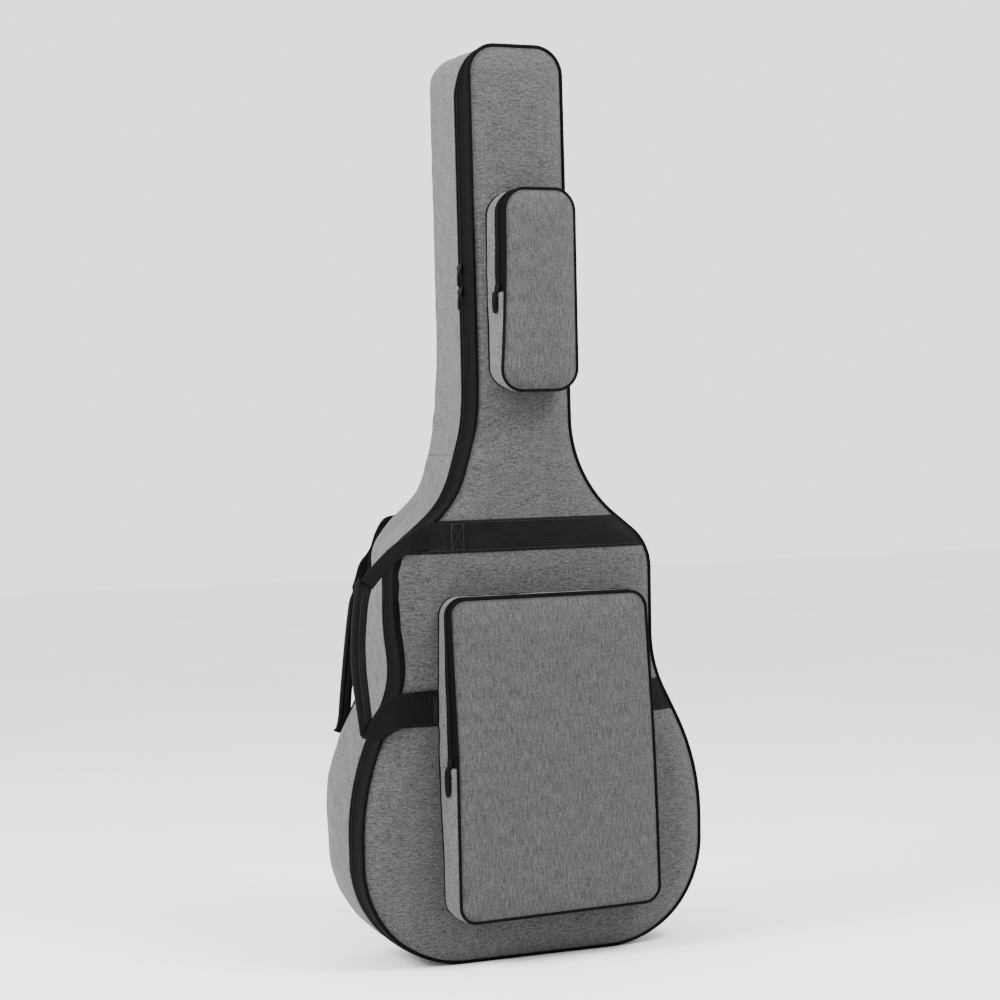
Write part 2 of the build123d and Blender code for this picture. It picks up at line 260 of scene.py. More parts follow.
def reshaped(obj, field):
    """Moves a mesh's points, in millimetres, by a field."""
    count = len(obj.data.vertices)
    flat = np.zeros(count * 3)
    obj.data.vertices.foreach_get("co", flat)
    moved = field(flat.reshape(-1, 3) / MM) * MM
    obj.data.vertices.foreach_set("co", moved.ravel())
    obj.data.update()
    return obj


def mesh_object(name, verts, faces, uvs=None, material=None, smooth_shade=True, soft=True):
    """A mesh object from points in millimetres, with UVs in metres when they are given."""
    mesh = bpy.data.meshes.new(name)
    verts = np.asarray(verts, float)
    verts = slumped(verts) if soft else verts
    mesh.from_pydata((verts * MM).tolist(), [], [list(map(int, f)) for f in faces])
    if uvs is not None:
        layer = mesh.uv_layers.new(name="UVMap")
        index = np.zeros(len(mesh.loops), int)
        mesh.loops.foreach_get("vertex_index", index)
        layer.data.foreach_set("uv", (np.asarray(uvs)[index] * MM).ravel())
    if smooth_shade:
        mesh.polygons.foreach_set("use_smooth", [True] * len(mesh.polygons))
    mesh.update()
    obj = bpy.data.objects.new(name, mesh)
    bpy.context.scene.collection.objects.link(obj)
    if material:
        obj.data.materials.append(material)
    return obj


def grid_faces(rows, cols, wrap_rows=False, wrap_cols=False, flip=False, first=0):
    """The quads of a grid of points, rows by cols."""
    i = np.arange(rows if wrap_rows else rows - 1)[:, None]
    j = np.arange(cols if wrap_cols else cols - 1)[None, :]
    a = i * cols + j
    b = i * cols + (j + 1) % cols
    c = ((i + 1) % rows) * cols + (j + 1) % cols
    d = ((i + 1) % rows) * cols + j
    quads = np.stack([a, b, c, d], axis=-1).reshape(-1, 4) + first
    return quads[:, ::-1] if flip else quads


def caps(rows, cols, turned=False):
    """The two faces that close the ends of a grid whose columns go round."""
    ends = [list(range(cols)), [(rows - 1) * cols + k for k in range(cols)][::-1]]
    return [end[::-1] for end in ends] if turned else ends


def grid_object(name, grid, uv, material, wrap_rows=False, wrap_cols=False, flip=False):
    """An object from a rows x cols x 3 array of points and its rows x cols x 2 UVs."""
    rows, cols = grid.shape[:2]
    faces = grid_faces(rows, cols, wrap_rows, wrap_cols, flip)
    return mesh_object(name, grid.reshape(-1, 3), faces, uv.reshape(-1, 2), material)


def rolled(name, grid, uv, material, flip=False, turned=False, ring=False):
    """An object whose columns go round: its ends are capped, unless its rows make a ring."""
    rows, cols = grid.shape[:2]
    faces = grid_faces(rows, cols, ring, True, flip).tolist()
    if not ring:
        faces += caps(rows, cols, turned)
    return mesh_object(name, grid.reshape(-1, 3), faces, uv.reshape(-1, 2), material)


def thicken(obj, thickness, offset=-1):
    """Gives a sheet a real thickness, in millimetres, on the side away from its normals."""
    tool = obj.modifiers.new("thickness", "SOLIDIFY")
    tool.thickness = thickness * MM
    tool.offset = offset
    tool.use_rim = True
    return obj


def bevelled(obj, width, segments, every_edge=False):
    """Softens a small part's edges, in millimetres."""
    tool = obj.modifiers.new("soft", "BEVEL")
    tool.width = width * MM
    tool.segments = segments
    if every_edge:
        tool.limit_method = "NONE"
    bpy.context.view_layer.objects.active = obj
    bpy.ops.object.modifier_apply(modifier=tool.name)
    return obj


def placed(obj, body, slot, *nodes, fill=None):
    """Puts a piece on a body and hides the CAD nodes it stands for; its slot and fill are not used."""
    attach(obj, body)
    if nodes:
        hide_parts(*nodes)


def joined(name, objects):
    """Several mesh objects as one."""
    bpy.ops.object.select_all(action="DESELECT")
    for obj in objects:
        obj.select_set(True)
    bpy.context.view_layer.objects.active = objects[0]
    if len(objects) > 1:
        bpy.ops.object.join()
    objects[0].name = name
    objects[0].data.name = name
    return objects[0]


def wall(name, loop, picks, profile, material, closed=False, move=None, hollow=False):
    """A strip along a loop. The profile is (outward offset, y) points; hollow closes it on itself."""
    profile = np.array(profile, float)
    spots = loop.points[picks][:, None, :]
    normals = loop.normal[picks][:, None, :]
    flat = spots + normals * profile[None, :, :1]
    grid = np.empty((len(picks), len(profile), 3))
    grid[..., 0] = flat[..., 0]
    grid[..., 1] = profile[None, :, 1]
    grid[..., 2] = flat[..., 1]
    if move is not None:
        push = move(grid)
        grid[..., 0] += normals[..., 0] * push
        grid[..., 2] += normals[..., 1] * push
    wrapped = np.unwrap(loop.along[picks], period=loop.length)
    down = distances(profile)
    uv = spread(wrapped[:, None], down[None, :])
    return grid_object(name, grid, uv, material, wrap_rows=closed, wrap_cols=hollow)


def tube(name, centres, radius, material, closed=True, sides=10):
    """A round cord along points in space."""
    ahead = np.roll(centres, -1, axis=0) - np.roll(centres, 1, axis=0)
    if not closed:
        ahead[0] = centres[1] - centres[0]
        ahead[-1] = centres[-1] - centres[-2]
    ahead = unit(ahead)
    side = unit(np.cross(ahead, (0, 1, 0)))
    up = np.cross(side, ahead)
    turn = full_turn(sides)
    radius = np.broadcast_to(radius, len(centres))[:, None, None]
    round_part = side[:, None] * np.cos(turn)[None, :, None] + up[:, None] * np.sin(turn)[None, :, None]
    grid = centres[:, None] + radius * round_part
    runs = distances(centres)
    uv = spread(turn[None, :] * 2, runs[:, None])
    return rolled(name, grid, uv, material, ring=closed)


def capsule(length, wide, high, sides=6):
    """The points and faces of a small round-ended bar lying along X, such as a stitch."""
    tip = [(-0.5, 0.15), (-0.46, 0.6), (-0.38, 0.85), (-0.2, 1)]
    rings = tip + [(-a, b) for a, b in reversed(tip)]
    turn = full_turn(sides)
    verts = [
        (a * length, math.cos(t) * wide / 2 * b, math.sin(t) * high / 2 * b) for a, b in rings for t in turn
    ]
    return np.array(verts), grid_faces(len(rings), sides, wrap_cols=True)


def scattered(name, template, spots, axes, material):
    """Copies of a small template mesh at spots, each turned by its three axis vectors."""
    verts, faces = template
    all_verts = spots[:, None, :] + np.einsum("vk,nkd->nvd", verts, axes)
    steps = np.arange(len(spots))[:, None, None] * len(verts)
    all_faces = (np.asarray(faces)[None] + steps).reshape(-1, np.asarray(faces).shape[1])
    return mesh_object(name, all_verts.reshape(-1, 3), all_faces, None, material)


def stitches(name, path, facing, pitch=4.2, length=3.0, wide=0.9):
    """A row of stitches along a path, on a face turned to -Y or +Y."""
    spots, _ = resampled(path, pitch, closed=False)
    normals = np.tile((0.0, facing, 0.0), (len(spots), 1))
    ahead = np.roll(spots, -1, axis=0) - np.roll(spots, 1, axis=0)
    ahead[0], ahead[-1] = spots[1] - spots[0], spots[-1] - spots[-2]
    ahead = unit(ahead)
    side = unit(np.cross(normals, ahead))
    axes = np.stack([ahead, side, np.cross(ahead, side)], axis=1)
    return scattered(name, capsule(length, wide, wide), spots, axes, BLACK_THREAD)


# --- materials


def new_material(name, base, rough, specular=0.5):
    material = bpy.data.materials.new(name)
    material.use_nodes = True
    shader = material.node_tree.nodes["Principled BSDF"]
    shader.inputs["Base Color"].default_value = (*base, 1)
    shader.inputs["Roughness"].default_value = rough
    shader.inputs["Specular IOR Level"].default_value = specular
    return material, material.node_tree, shader


def add_node(tree, kind, inputs=None, **settings):
    """A shader node with its settings and its unlinked or linked inputs."""
    node = tree.nodes.new(kind)
    for key, value in settings.items():
        setattr(node, key, value)
    for key, value in (inputs or {}).items():
        if isinstance(value, bpy.types.NodeSocket):
            tree.links.new(value, node.inputs[key])
        else:
            node.inputs[key].default_value = value
    return node


def math_node(tree, operation, *inputs):
    return add_node(tree, "ShaderNodeMath", dict(enumerate(inputs)), operation=operation).outputs[0]


def ramp_node(tree, factor, stops):
    """A colour ramp through (position, grey or colour) stops."""
    node = add_node(tree, "ShaderNodeValToRGB", {0: factor})
    ramp = node.color_ramp
    while len(ramp.elements) < len(stops):
        ramp.elements.new(0.5)
    for element, (place, colour) in zip(ramp.elements, stops):
        element.position = place
        element.color = (*colour, 1) if isinstance(colour, tuple) else (colour, colour, colour, 1)
    return node.outputs[0]


def uv_noise(tree, coords, scale, detail=2.0, rough=0.5):
    """Noise over UVs in metres; scale holds the features per metre across and along."""
    mapping = add_node(tree, "ShaderNodeMapping", {"Vector": coords, "Scale": (*scale, 1)})
    inputs = {"Vector": mapping.outputs[0], "Scale": 1.0, "Detail": detail, "Roughness": rough}
    return add_node(tree, "ShaderNodeTexNoise", inputs).outputs[0]


def uv_wave(tree, coords, direction, per_metre, distortion=0.0):
    """Bands across or along the UVs, per_metre of them in a metre."""
    inputs = {
        "Vector": coords,
        "Scale": per_metre * 2 * math.pi / 20,
        "Distortion": distortion,
        "Detail": 1.0,
        "Detail Scale": 2.0,
    }
    return add_node(tree, "ShaderNodeTexWave", inputs, bands_direction=direction).outputs[1]


def bumped(tree, shader, height, distance, strength=1.0):
    inputs = {"Height": height, "Distance": distance, "Strength": strength}
    node = add_node(tree, "ShaderNodeBump", inputs)
    tree.links.new(node.outputs[0], shader.inputs["Normal"])


def heather(name, dark, light, streak, speck=0.55):
    """Grey melange polyester: dark and light yarns in a fine plain weave, slubs along streak."""
    material, tree, shader = new_material(name, (0.2, 0.2, 0.2), 0.88, 0.2)
    coords = add_node(tree, "ShaderNodeTexCoord").outputs["UV"]
    slub = uv_noise(tree, coords, streak, 3.0, 0.62)
    fine = uv_noise(tree, coords, (430, 430), 1.0, 0.5)
    cloud = uv_noise(tree, coords, (48, 80), 2.0, 0.5)
    slub = math_node(tree, "MULTIPLY", slub, 0.7)
    mixed = math_node(tree, "MULTIPLY_ADD", fine, speck, slub)
    mixed = math_node(tree, "MULTIPLY_ADD", cloud, 0.2, mixed)
    middle = 0.5 * (0.7 + speck + 0.2)
    contrast = 0.26
    colour = ramp_node(tree, mixed, [(middle - contrast, dark), (min(1.0, middle + contrast), light)])
    tree.links.new(colour, shader.inputs["Base Color"])
    across = uv_wave(tree, coords, "X", 1500)
    along = uv_wave(tree, coords, "Y", 1500)
    weave = math_node(tree, "MAXIMUM", across, along)
    height = math_node(tree, "MULTIPLY_ADD", fine, 0.8, weave)
    bumped(tree, shader, height, 0.0002, 0.4)
    shader.inputs["Sheen Weight"].default_value = 0.08
    shader.inputs["Sheen Roughness"].default_value = 0.5
    return material


def webbing_material(name, base=0.0025):
    """Black polyester webbing: ribs across its width and a herringbone along it."""
    material, tree, shader = new_material(name, (base,) * 3, 0.62, 0.06)
    coords = add_node(tree, "ShaderNodeTexCoord").outputs["UV"]
    ribs = uv_wave(tree, coords, "Y", 620)
    columns = uv_wave(tree, coords, "X", 330, 0.6)
    height = math_node(tree, "MULTIPLY_ADD", columns, 0.7, ribs)
    worn = uv_noise(tree, coords, (60, 25), 3.0, 0.6)
    shade = ramp_node(tree, worn, [(0.3, base * 0.75), (0.75, base * 1.7)])
    tree.links.new(shade, shader.inputs["Base Color"])
    bumped(tree, shader, height, 0.0004, 0.8)
    return material


def tape_material(name, base=0.0014, rough=0.8):
    """Black zipper tape and binding: a fine twill."""
    material, tree, shader = new_material(name, (base,) * 3, rough, 0.04)
    coords = add_node(tree, "ShaderNodeTexCoord").outputs["UV"]
    ribs = uv_wave(tree, coords, "DIAGONAL", 900)
    dust = uv_noise(tree, coords, (90, 60), 3.0, 0.6)
    shade = ramp_node(tree, dust, [(0.3, base * 0.8), (0.8, base * 1.6)])
    tree.links.new(shade, shader.inputs["Base Color"])
    bumped(tree, shader, ribs, 0.00025, 0.7)
    return material


def object_noise_material(name, base, rough, size, bump, spread=0.25, metallic=0.0):
    """Moulded or cast surfaces: a fine grain and slight variation in colour and gloss."""
    material, tree, shader = new_material(name, base, rough, 0.05)
    coords = add_node(tree, "ShaderNodeTexCoord").outputs["Object"]
    inputs = {"Vector": coords, "Scale": 1 / (size * MM), "Detail": 3.0}
    grain = add_node(tree, "ShaderNodeTexNoise", inputs).outputs[0]
    low = tuple(c * (1 - spread) for c in base)
    high = tuple(min(1, c * (1 + spread)) for c in base)
    tree.links.new(ramp_node(tree, grain, [(0.3, low), (0.7, high)]), shader.inputs["Base Color"])
    gloss = ramp_node(tree, grain, [(0.3, rough * 0.85), (0.7, min(1, rough * 1.15))])
    tree.links.new(gloss, shader.inputs["Roughness"])
    bumped(tree, shader, grain, bump * MM, 0.5)
    shader.inputs["Metallic"].default_value = metallic
    return material


PANEL_FABRIC = heather("panel_heather", 0.008, 0.072, (140, 420))
SIDE_FABRIC = heather("side_heather", 0.018, 0.112, (330, 240))
POCKET_FABRIC = heather("pocket_heather", 0.011, 0.068, (480, 70), 0.5)
WEBBING = webbing_material("black_webbing")
TAPE = tape_material("zip_tape")
PIPING = tape_material("piping_binding", 0.0014, 0.7)
COIL = object_noise_material("zip_coil", (0.004, 0.004, 0.004), 0.4, 2.0, 0.02)
METAL = object_noise_material("slider_metal", (0.006, 0.006, 0.006), 0.4, 1.2, 0.02, 0.3, 0.1)
PLASTIC = object_noise_material("pull_plastic", (0.002, 0.002, 0.002), 0.55, 0.8, 0.03)
BLACK_THREAD = object_noise_material("black_thread", (0.02, 0.02, 0.02), 0.6, 0.6, 0.05)
FOAM = object_noise_material("foam", (0.05, 0.05, 0.055), 0.9, 1.0, 0.2)


def lining_material():
    """Black nylon lining, quilted by a fine ripstop grid."""
    material, tree, shader = new_material("nylon_lining", (0.007, 0.007, 0.008), 0.6)
    coords = add_node(tree, "ShaderNodeTexCoord").outputs["UV"]
    across = uv_wave(tree, coords, "X", 200)
    along = uv_wave(tree, coords, "Y", 200)
    grid = math_node(tree, "MAXIMUM", across, along)
    shade = ramp_node(tree, grid, [(0.6, 0.005), (1.0, 0.012)])
    tree.links.new(shade, shader.inputs["Base Color"])
    bumped(tree, shader, grid, 0.0003, 0.5)
    return material


LINING = lining_material()


# --- the padded shell and lid

MIRRORED = [(-x, z, r) for x, z, r in reversed(OUTLINE)]
RIM = Loop(OUTLINE + MIRRORED, OUTLINE_STEP, (0, 0))
EVERY = np.arange(len(RIM.points))
STRAP_LEVELS = [node_middle(name)[2] for name in ("webbing_upper", "webbing_lower")]


def panel_points(loop, inset=0.0, cols=72):
    """A panel's x and z as rows from base to top, with more columns towards its sides."""
    spots = loop.rows(inset)
    t = np.linspace(-1, 1, cols)
    share = 0.5 * np.sin(math.pi * t / 2) + 0.5 * t
    x = spots[:, :1] * share[None, :]
    z = np.repeat(spots[:, 1:], cols, axis=1)
    return x, z


def puff(depth, height, slope, power=2.4):
    """How far a padded surface stands proud at a depth inside its edge."""
    return height * (1 - (1 - np.clip(depth / slope, 0, 1)) ** power)


def strap_dents(z, depth):
    """The padding pressed in under the two webbing straps."""
    dent = sum(hump(z, level, 21.0) for level in STRAP_LEVELS)
    return dent * smooth(depth / 25)


def front_surface(x, z):
    """The front cover's y at a place on the panel."""
    depth = RIM.depth(x, z)
    spots = plan(x, z)
    rise = puff(depth, FRONT_PUFF, PUFF_SLOPE)
    soft = 0.9 * noise(spots, (70, 46, 50), 3) + 0.45 * noise(spots, (26, 15, 20), 4)
    pucker = 0.35 * noise(spots, (9, 9, 9), 5) * hump(depth, 8, 7)
    seam = -0.7 * hump(depth, 5.5, 1.8)
    near_strap = sum(hump(z, level, 42.0) for level in STRAP_LEVELS)
    pull = 0.8 * near_strap * noise(spots, (60, 13, 20), 6)
    rise = rise + (soft + pull) * smooth(depth / 22) + pucker + seam - 2.0 * strap_dents(z, depth)
    return FRONT_Y + 0.6 - rise


def back_surface(x, z):
    """The back cover's y at a place on the panel."""
    depth = RIM.depth(x, z)
    spots = plan(x, z, 90)
    rise = puff(depth - BACK_ROUND, BACK_PUFF, PUFF_SLOPE)
    soft = 0.9 * noise(spots, (80, 55, 50), 13) + 0.4 * noise(spots, (28, 18, 20), 14)
    seam = -0.6 * np.exp(-(((depth - BACK_ROUND - 4) / 2.0) ** 2))
    rise = rise + soft * smooth((depth - BACK_ROUND) / 25) + seam - 1.5 * strap_dents(z, depth)
    return BACK_Y + rise


def covered(name, x, z, y, material):
    """A panel skin over a grid of x and z, at heights y."""
    grid = np.stack([x, y, z], axis=-1)
    return grid_object(name, grid, np.stack([x, z], axis=-1), material, flip=y.mean() > 0)


def solid_between(name, x, z, near_y, far_y, material):
    """A closed slab between two surfaces over the same grid."""
    rows, cols = x.shape
    near = np.stack([x, near_y, z], axis=-1).reshape(-1, 3)
    far = np.stack([x, far_y, z], axis=-1).reshape(-1, 3)
    rim = np.concatenate(
        [
            np.arange(cols),
            np.arange(1, rows) * cols + cols - 1,
            (rows - 1) * cols + np.arange(cols - 2, -1, -1),
            np.arange(rows - 2, 0, -1) * cols,
        ]
    )
    faces = grid_faces(rows, cols).tolist() + grid_faces(rows, cols, flip=True, first=len(near)).tolist()
    for a, b in zip(rim, np.roll(rim, -1)):
        faces.append([b, a, a + len(near), b + len(near)])
    uv = np.tile(np.stack([x, z], axis=-1).reshape(-1, 2), (2, 1))
    return mesh_object(name, np.vstack([near, far]), faces, uv, material)


def cover(side, body, surface, inset, cols, foam_inset, foam_y, toward, fill):
    """A padded panel: its fabric skin, and the foam pad between that and foam_y."""
    x, z = panel_points(RIM, inset, cols)
    skin = thicken(covered(side + "_skin", x, z, surface(x, z), PANEL_FABRIC), FABRIC)
    placed(skin, body, "heather_fabric", side + "_cover", fill=fill)
    x, z = (points[::3] for points in panel_points(RIM, foam_inset, 30))
    outer = surface(x, z) + 3.0 * toward
    layers = [outer, outer * 0 + foam_y][::toward]
    foam = solid_between(side + "_foam_pad", x, z, *layers, FOAM)
    placed(foam, body, "foam", side + "_foam", fill=0.5)


def gusset_push(grid):
    """How far the side wall bows and wrinkles outward; flat where the bag stands."""
    x, z = grid[..., 0], grid[..., 2]
    across = (grid[..., 1] - TAPE_BACK_Y) / (BACK_Y - TAPE_BACK_Y)
    belly = np.sin(math.pi * np.clip(across, 0, 1)) ** 0.8
    bouts = 3.4 * smooth((330 - z) / 120) + 1.6 * smooth((z - 380) / 60) * smooth((560 - z) / 50)
    spots = np.stack([x, grid[..., 1], z], axis=-1)
    slack = 1.3 + 2.2 * hump(z, 655, 105) + 1.1 * hump(z, 420, 70) + 0.9 * hump(z, 250, 90)
    slanted = np.stack([x, grid[..., 1] + 0.55 * z, z - 0.8 * grid[..., 1]], axis=-1)
    folds = 0.8 * noise(spots, (60, 24, 44), 21) + 1.5 * noise(slanted, (40, 34, 17), 22)
    fine = 0.3 * noise(spots, (14, 12, 16), 23)
    push = belly * (bouts + slack * folds) + fine * np.clip(across * 8, 0, 1)
    push = np.where(push < 0, 0.8 * np.tanh(push / 1.6), push)
    return push * smooth((z - 6) / 50) - 0.3


def back_edge_profile(low_y):
    """The gusset from its front fold, straight back, and round onto the back panel."""
    straight = [(0.0, y) for y in np.linspace(low_y, BACK_Y - BACK_ROUND, 26)]
    turn = np.linspace(0, math.pi / 2, 9)[1:]
    bend = [
        (BACK_ROUND * (math.cos(a) - 1), BACK_Y - BACK_ROUND + BACK_ROUND * math.sin(a)) for a in turn
    ]
    return [(-1.6, low_y + 2.5), (-0.6, low_y - 0.4), (0.5, low_y - 0.5)] + straight[1:] + bend


def gusset_parts():
    """The four cover panels of the side wall, and its foam."""
    neck_z = node_box("gusset_neck")[0][2]
    base_half = node_box("gusset_base")[1][0]
    zones = {
        "gusset_neck": lambda x, z: z > neck_z,
        "gusset_left": lambda x, z: (z <= neck_z) & (x < 0) & ~((z < 1) & (x > -base_half)),
        "gusset_right": lambda x, z: (z <= neck_z) & (x > 0) & ~((z < 1) & (x < base_half)),
        "gusset_base": lambda x, z: (z < 1) & (abs(x) <= base_half),
    }
    for node, zone in zones.items():
        picks = RIM.part(zone)
        skin = wall(
            node + "_skin", RIM, picks, back_edge_profile(TAPE_BACK_Y), SIDE_FABRIC, move=gusset_push
        )
        thicken(skin, FABRIC)
        placed(skin, "shell", "heather_fabric", node, fill=0.4)
    profile = [(-3, TAPE_BACK_Y + 5), (-8.5, TAPE_BACK_Y + 5), (-8.5, BACK_Y - 10), (-4, BACK_Y - 12)]
    foam = wall("gusset_foam_pad", RIM, EVERY, profile, FOAM, closed=True, hollow=True)
    placed(foam, "shell", "foam", "gusset_foam", fill=0.4)


def linings():
    """The nylon linings of the shell and the lid, each one cup that reaches its zipper tape."""
    x, z = panel_points(RIM, 12.0, 40)
    spots = plan(x, z)
    depth = RIM.depth(x, z)
    quilt = 0.8 * noise(spots, (60, 60, 50), 31) * smooth(depth / 40)
    back = covered("shell_lining_back", x, z, 0 * x + BACK_Y - 10.5 + quilt, LINING)
    side_profile = [(-1.8, TAPE_BACK_Y - 1.5), (-4, TAPE_BACK_Y - 2), (-9.5, TAPE_BACK_Y - 0.5)]
    side_profile += [(-10.5, y) for y in np.linspace(TAPE_BACK_Y + 3, BACK_Y - 13, 12)]
    side_profile += [(-12, BACK_Y - 10.5)]
    side = wall("shell_lining_side", RIM, EVERY, side_profile, LINING, closed=True)
    shell = joined("shell_lining_cup", [back, side])
    thicken(shell, LINING_CLOTH, 0)
    placed(shell, "shell", "lining", "back_lining", "gusset_lining")
    x, z = panel_points(RIM, 9.0, 40)
    spots = plan(x, z)
    quilt = 0.8 * noise(spots, (60, 60, 50), 32)
    front = covered("lid_lining_front", x, z, 0 * x + FRONT_Y + 10.5 + quilt * 0.6, LINING)
    edge_profile = [(-9.0, FRONT_Y + 10.5), (-5, FRONT_Y + 12), (-3, FRONT_Y + 16)]
    edge_profile += [(-2.4, y) for y in np.linspace(FRONT_Y + 20, ZIP_Y - 4, 6)]
    edge = wall("lid_lining_edge", RIM, EVERY, edge_profile, LINING, closed=True)
    lid = joined("lid_lining_cup", [front, edge])
    thicken(lid, LINING_CLOTH, 0)
    placed(lid, "lid", "lining", "front_lining", "lid_edge_lining")


def front_piping():
    """The corded binding round the front panel, tucked in a little where the bag stands."""
    lift = smooth((40 - RIM.points[:, 1]) / 40)
    inset = 0.6 + 1.8 * lift
    spots = RIM.points - RIM.normal * inset[:, None]
    centres = np.stack([spots[:, 0], np.full(len(spots), FRONT_Y - 0.9), spots[:, 1]], axis=1)
    cord = tube("front_piping_cord", centres, PIPING_RADIUS, PIPING)
    placed(cord, "lid", "piping", "front_piping")


def lid_zipper_side():
    """The black facing behind the piping, and the lid's zipper tape behind its raised fold."""
    start = FRONT_Y + 1.0
    facing_profile = [(-1.4, start), (-0.3, start + 0.6), (-0.1, start + 3)]
    facing_profile += [(0.1, y) for y in np.linspace(start + 6, FACING_BACK_Y - 3, 4)]
    facing_profile += [(0.5, FACING_BACK_Y - 1.2), (0.7, FACING_BACK_Y), (-0.2, FACING_BACK_Y + 0.8)]

    def press(grid):
        z = grid[..., 2]
        ripple = 0.25 * noise(grid, (30, 16, 30), 41) * smooth((z - 6) / 40)
        return ripple - 0.75 * smooth((12 - z) / 12)

    facing = wall("lid_facing_band", RIM, EVERY, facing_profile, TAPE, closed=True, move=press)
    thicken(facing, 0.8)
    placed(facing, "lid", "zip_tape", "lid_facing")
    tape_profile = [(-0.9, FACING_BACK_Y - 2), (-0.8, FACING_BACK_Y + 2), (-0.7, ZIP_Y - 5)]
    tape_profile += [(-0.4, ZIP_Y - 4.2), (-0.5, ZIP_Y - 2.4), (-1.5, ZIP_Y - 1.7), (-1.6, ZIP_Y - 0.1)]
    tape = wall("lid_tape_band", RIM, EVERY, tape_profile, TAPE, closed=True, move=press)
    thicken(tape, TAPE_CLOTH)
    placed(tape, "lid", "zip_tape", "lid_zip_tape")


def coil_tooth(high, wide):
    """One loop of a nylon coil: an arch across half the zipper, as points and faces."""
    ring = full_turn(5)
    arch = [(0.0, 0.1), (0.25, 0.75), (0.6, 1.0), (0.9, 0.7), (1.0, 0.1)]
    verts = []
    for a, b in arch:
        for t in ring:
            verts.append((0.45 * math.cos(t), a * wide, b * high + 0.42 * math.sin(t)))
    return np.array(verts), grid_faces(len(arch), 5, wrap_cols=True)


def coil(name, loop, picks, y_edge, direction, offset, pitch=2.1, high=0.9, wide=2.6):
    """Half a zipper's coil along a loop: direction is +1 for the half that lies behind y_edge."""
    spots = loop.points[picks]
    path = np.hstack([spots, loop.normal[picks]])
    even, _ = resampled(path, pitch, closed=False)
    if direction < 0:
        even = (even[:-1] + even[1:]) / 2
    normal = unit(even[:, 2:4])
    count = len(even)
    base = np.zeros((count, 3))
    base[:, 0] = even[:, 0] + normal[:, 0] * offset
    base[:, 2] = even[:, 1] + normal[:, 1] * offset
    base[:, 1] = y_edge
    ahead = np.zeros((count, 3))
    ahead[:, 0], ahead[:, 2] = -normal[:, 1], normal[:, 0]
    across = np.tile((0.0, float(direction), 0.0), (count, 1))
    out = np.zeros((count, 3))
    out[:, 0], out[:, 2] = normal[:, 0], normal[:, 1]
    axes = np.stack([ahead, across, out], axis=1)
    return scattered(name, coil_tooth(high, wide), base, axes, COIL)


def open_run():
    """The main zipper's run: all the outline but the fabric hinge on the right."""
    return RIM.part(lambda x, z: ~((x > 100) & (z > HINGE_LOW_Z) & (z < HINGE_HIGH_Z)))


def main_zipper():
    """Coil halves on lid and shell, the shell's tape, and the fabric hinge between the ends."""
    run = open_run()
    lid_coil = coil("lid_coil_teeth", RIM, run, ZIP_Y - MAIN_COIL_HALF, 1, -0.75)
    placed(lid_coil, "lid", "zip_coil", "lid_zip_coil")
    shell_coil = coil("shell_coil_teeth", RIM, run, ZIP_Y + MAIN_COIL_HALF, -1, -0.75)
    placed(shell_coil, "shell", "zip_coil", "shell_zip_coil")
    tape_profile = [(-1.0, ZIP_Y + 0.1), (-0.9, ZIP_Y + 1.7), (-0.5, ZIP_Y + 2.4), (-0.4, ZIP_Y + 4.2)]
    tape_profile += [(-0.7, ZIP_Y + 5), (-0.9, TAPE_BACK_Y + 2)]
    tape = wall("shell_tape_band", RIM, run, tape_profile, TAPE, move=lambda g: -0.6 + 0 * g[..., 0])
    thicken(tape, TAPE_CLOTH)
    placed(tape, "shell", "zip_tape", "shell_zip_tape")
    hinge = RIM.part(lambda x, z: (x > 100) & (z > HINGE_LOW_Z - 5) & (z < HINGE_HIGH_Z + 5))
    strip_profile = [(0.2, y) for y in np.linspace(FACING_BACK_Y + 3, TAPE_BACK_Y + 1, 14)]
    strip = wall("hinge_fabric", RIM, hinge, strip_profile, SIDE_FABRIC)
    thicken(strip, 1.0, 0)
    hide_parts("hinge_strip")
    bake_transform(strip)


# --- pockets


def rounded_rect(half, low, high, radius):
    """A pocket's outline as a loop that starts at the middle of its base."""
    corners = [(half, low, radius), (half, high, radius), (-half, high, radius), (-half, low, radius)]
    return Loop(corners, 2.4, (0, low))


def skirt(name, loop, picks, start_y, end_y, material, bow=0.0, seed=0, steps=10):
    """A pocket's side wall between two depths, which may change along it."""
    start = np.broadcast_to(start_y, len(picks))[:, None]
    end = np.broadcast_to(end_y, len(picks))[:, None]
    t = np.linspace(0, 1, steps)[None, :]
    y = start + (end - start) * t
    spots = loop.points[picks][:, None, :]
    normals = loop.normal[picks][:, None, :]
    base = np.stack([spots[..., 0] + 0 * y, y, spots[..., 1] + 0 * y], axis=-1)
    push = bow * np.sin(math.pi * t) + 0.5 * bow * noise(base, (34, 18, 34), 50 + seed)
    push = push + 0.25 * bow * noise(base, (11, 9, 11), 51 + seed) * np.sin(math.pi * t)
    base[..., 0] += normals[..., 0] * push
    base[..., 2] += normals[..., 1] * push
    run = np.unwrap(loop.along[picks], period=loop.length)[:, None] + 0 * y
    return grid_object(name, base, np.stack([run, y], axis=-1), material)


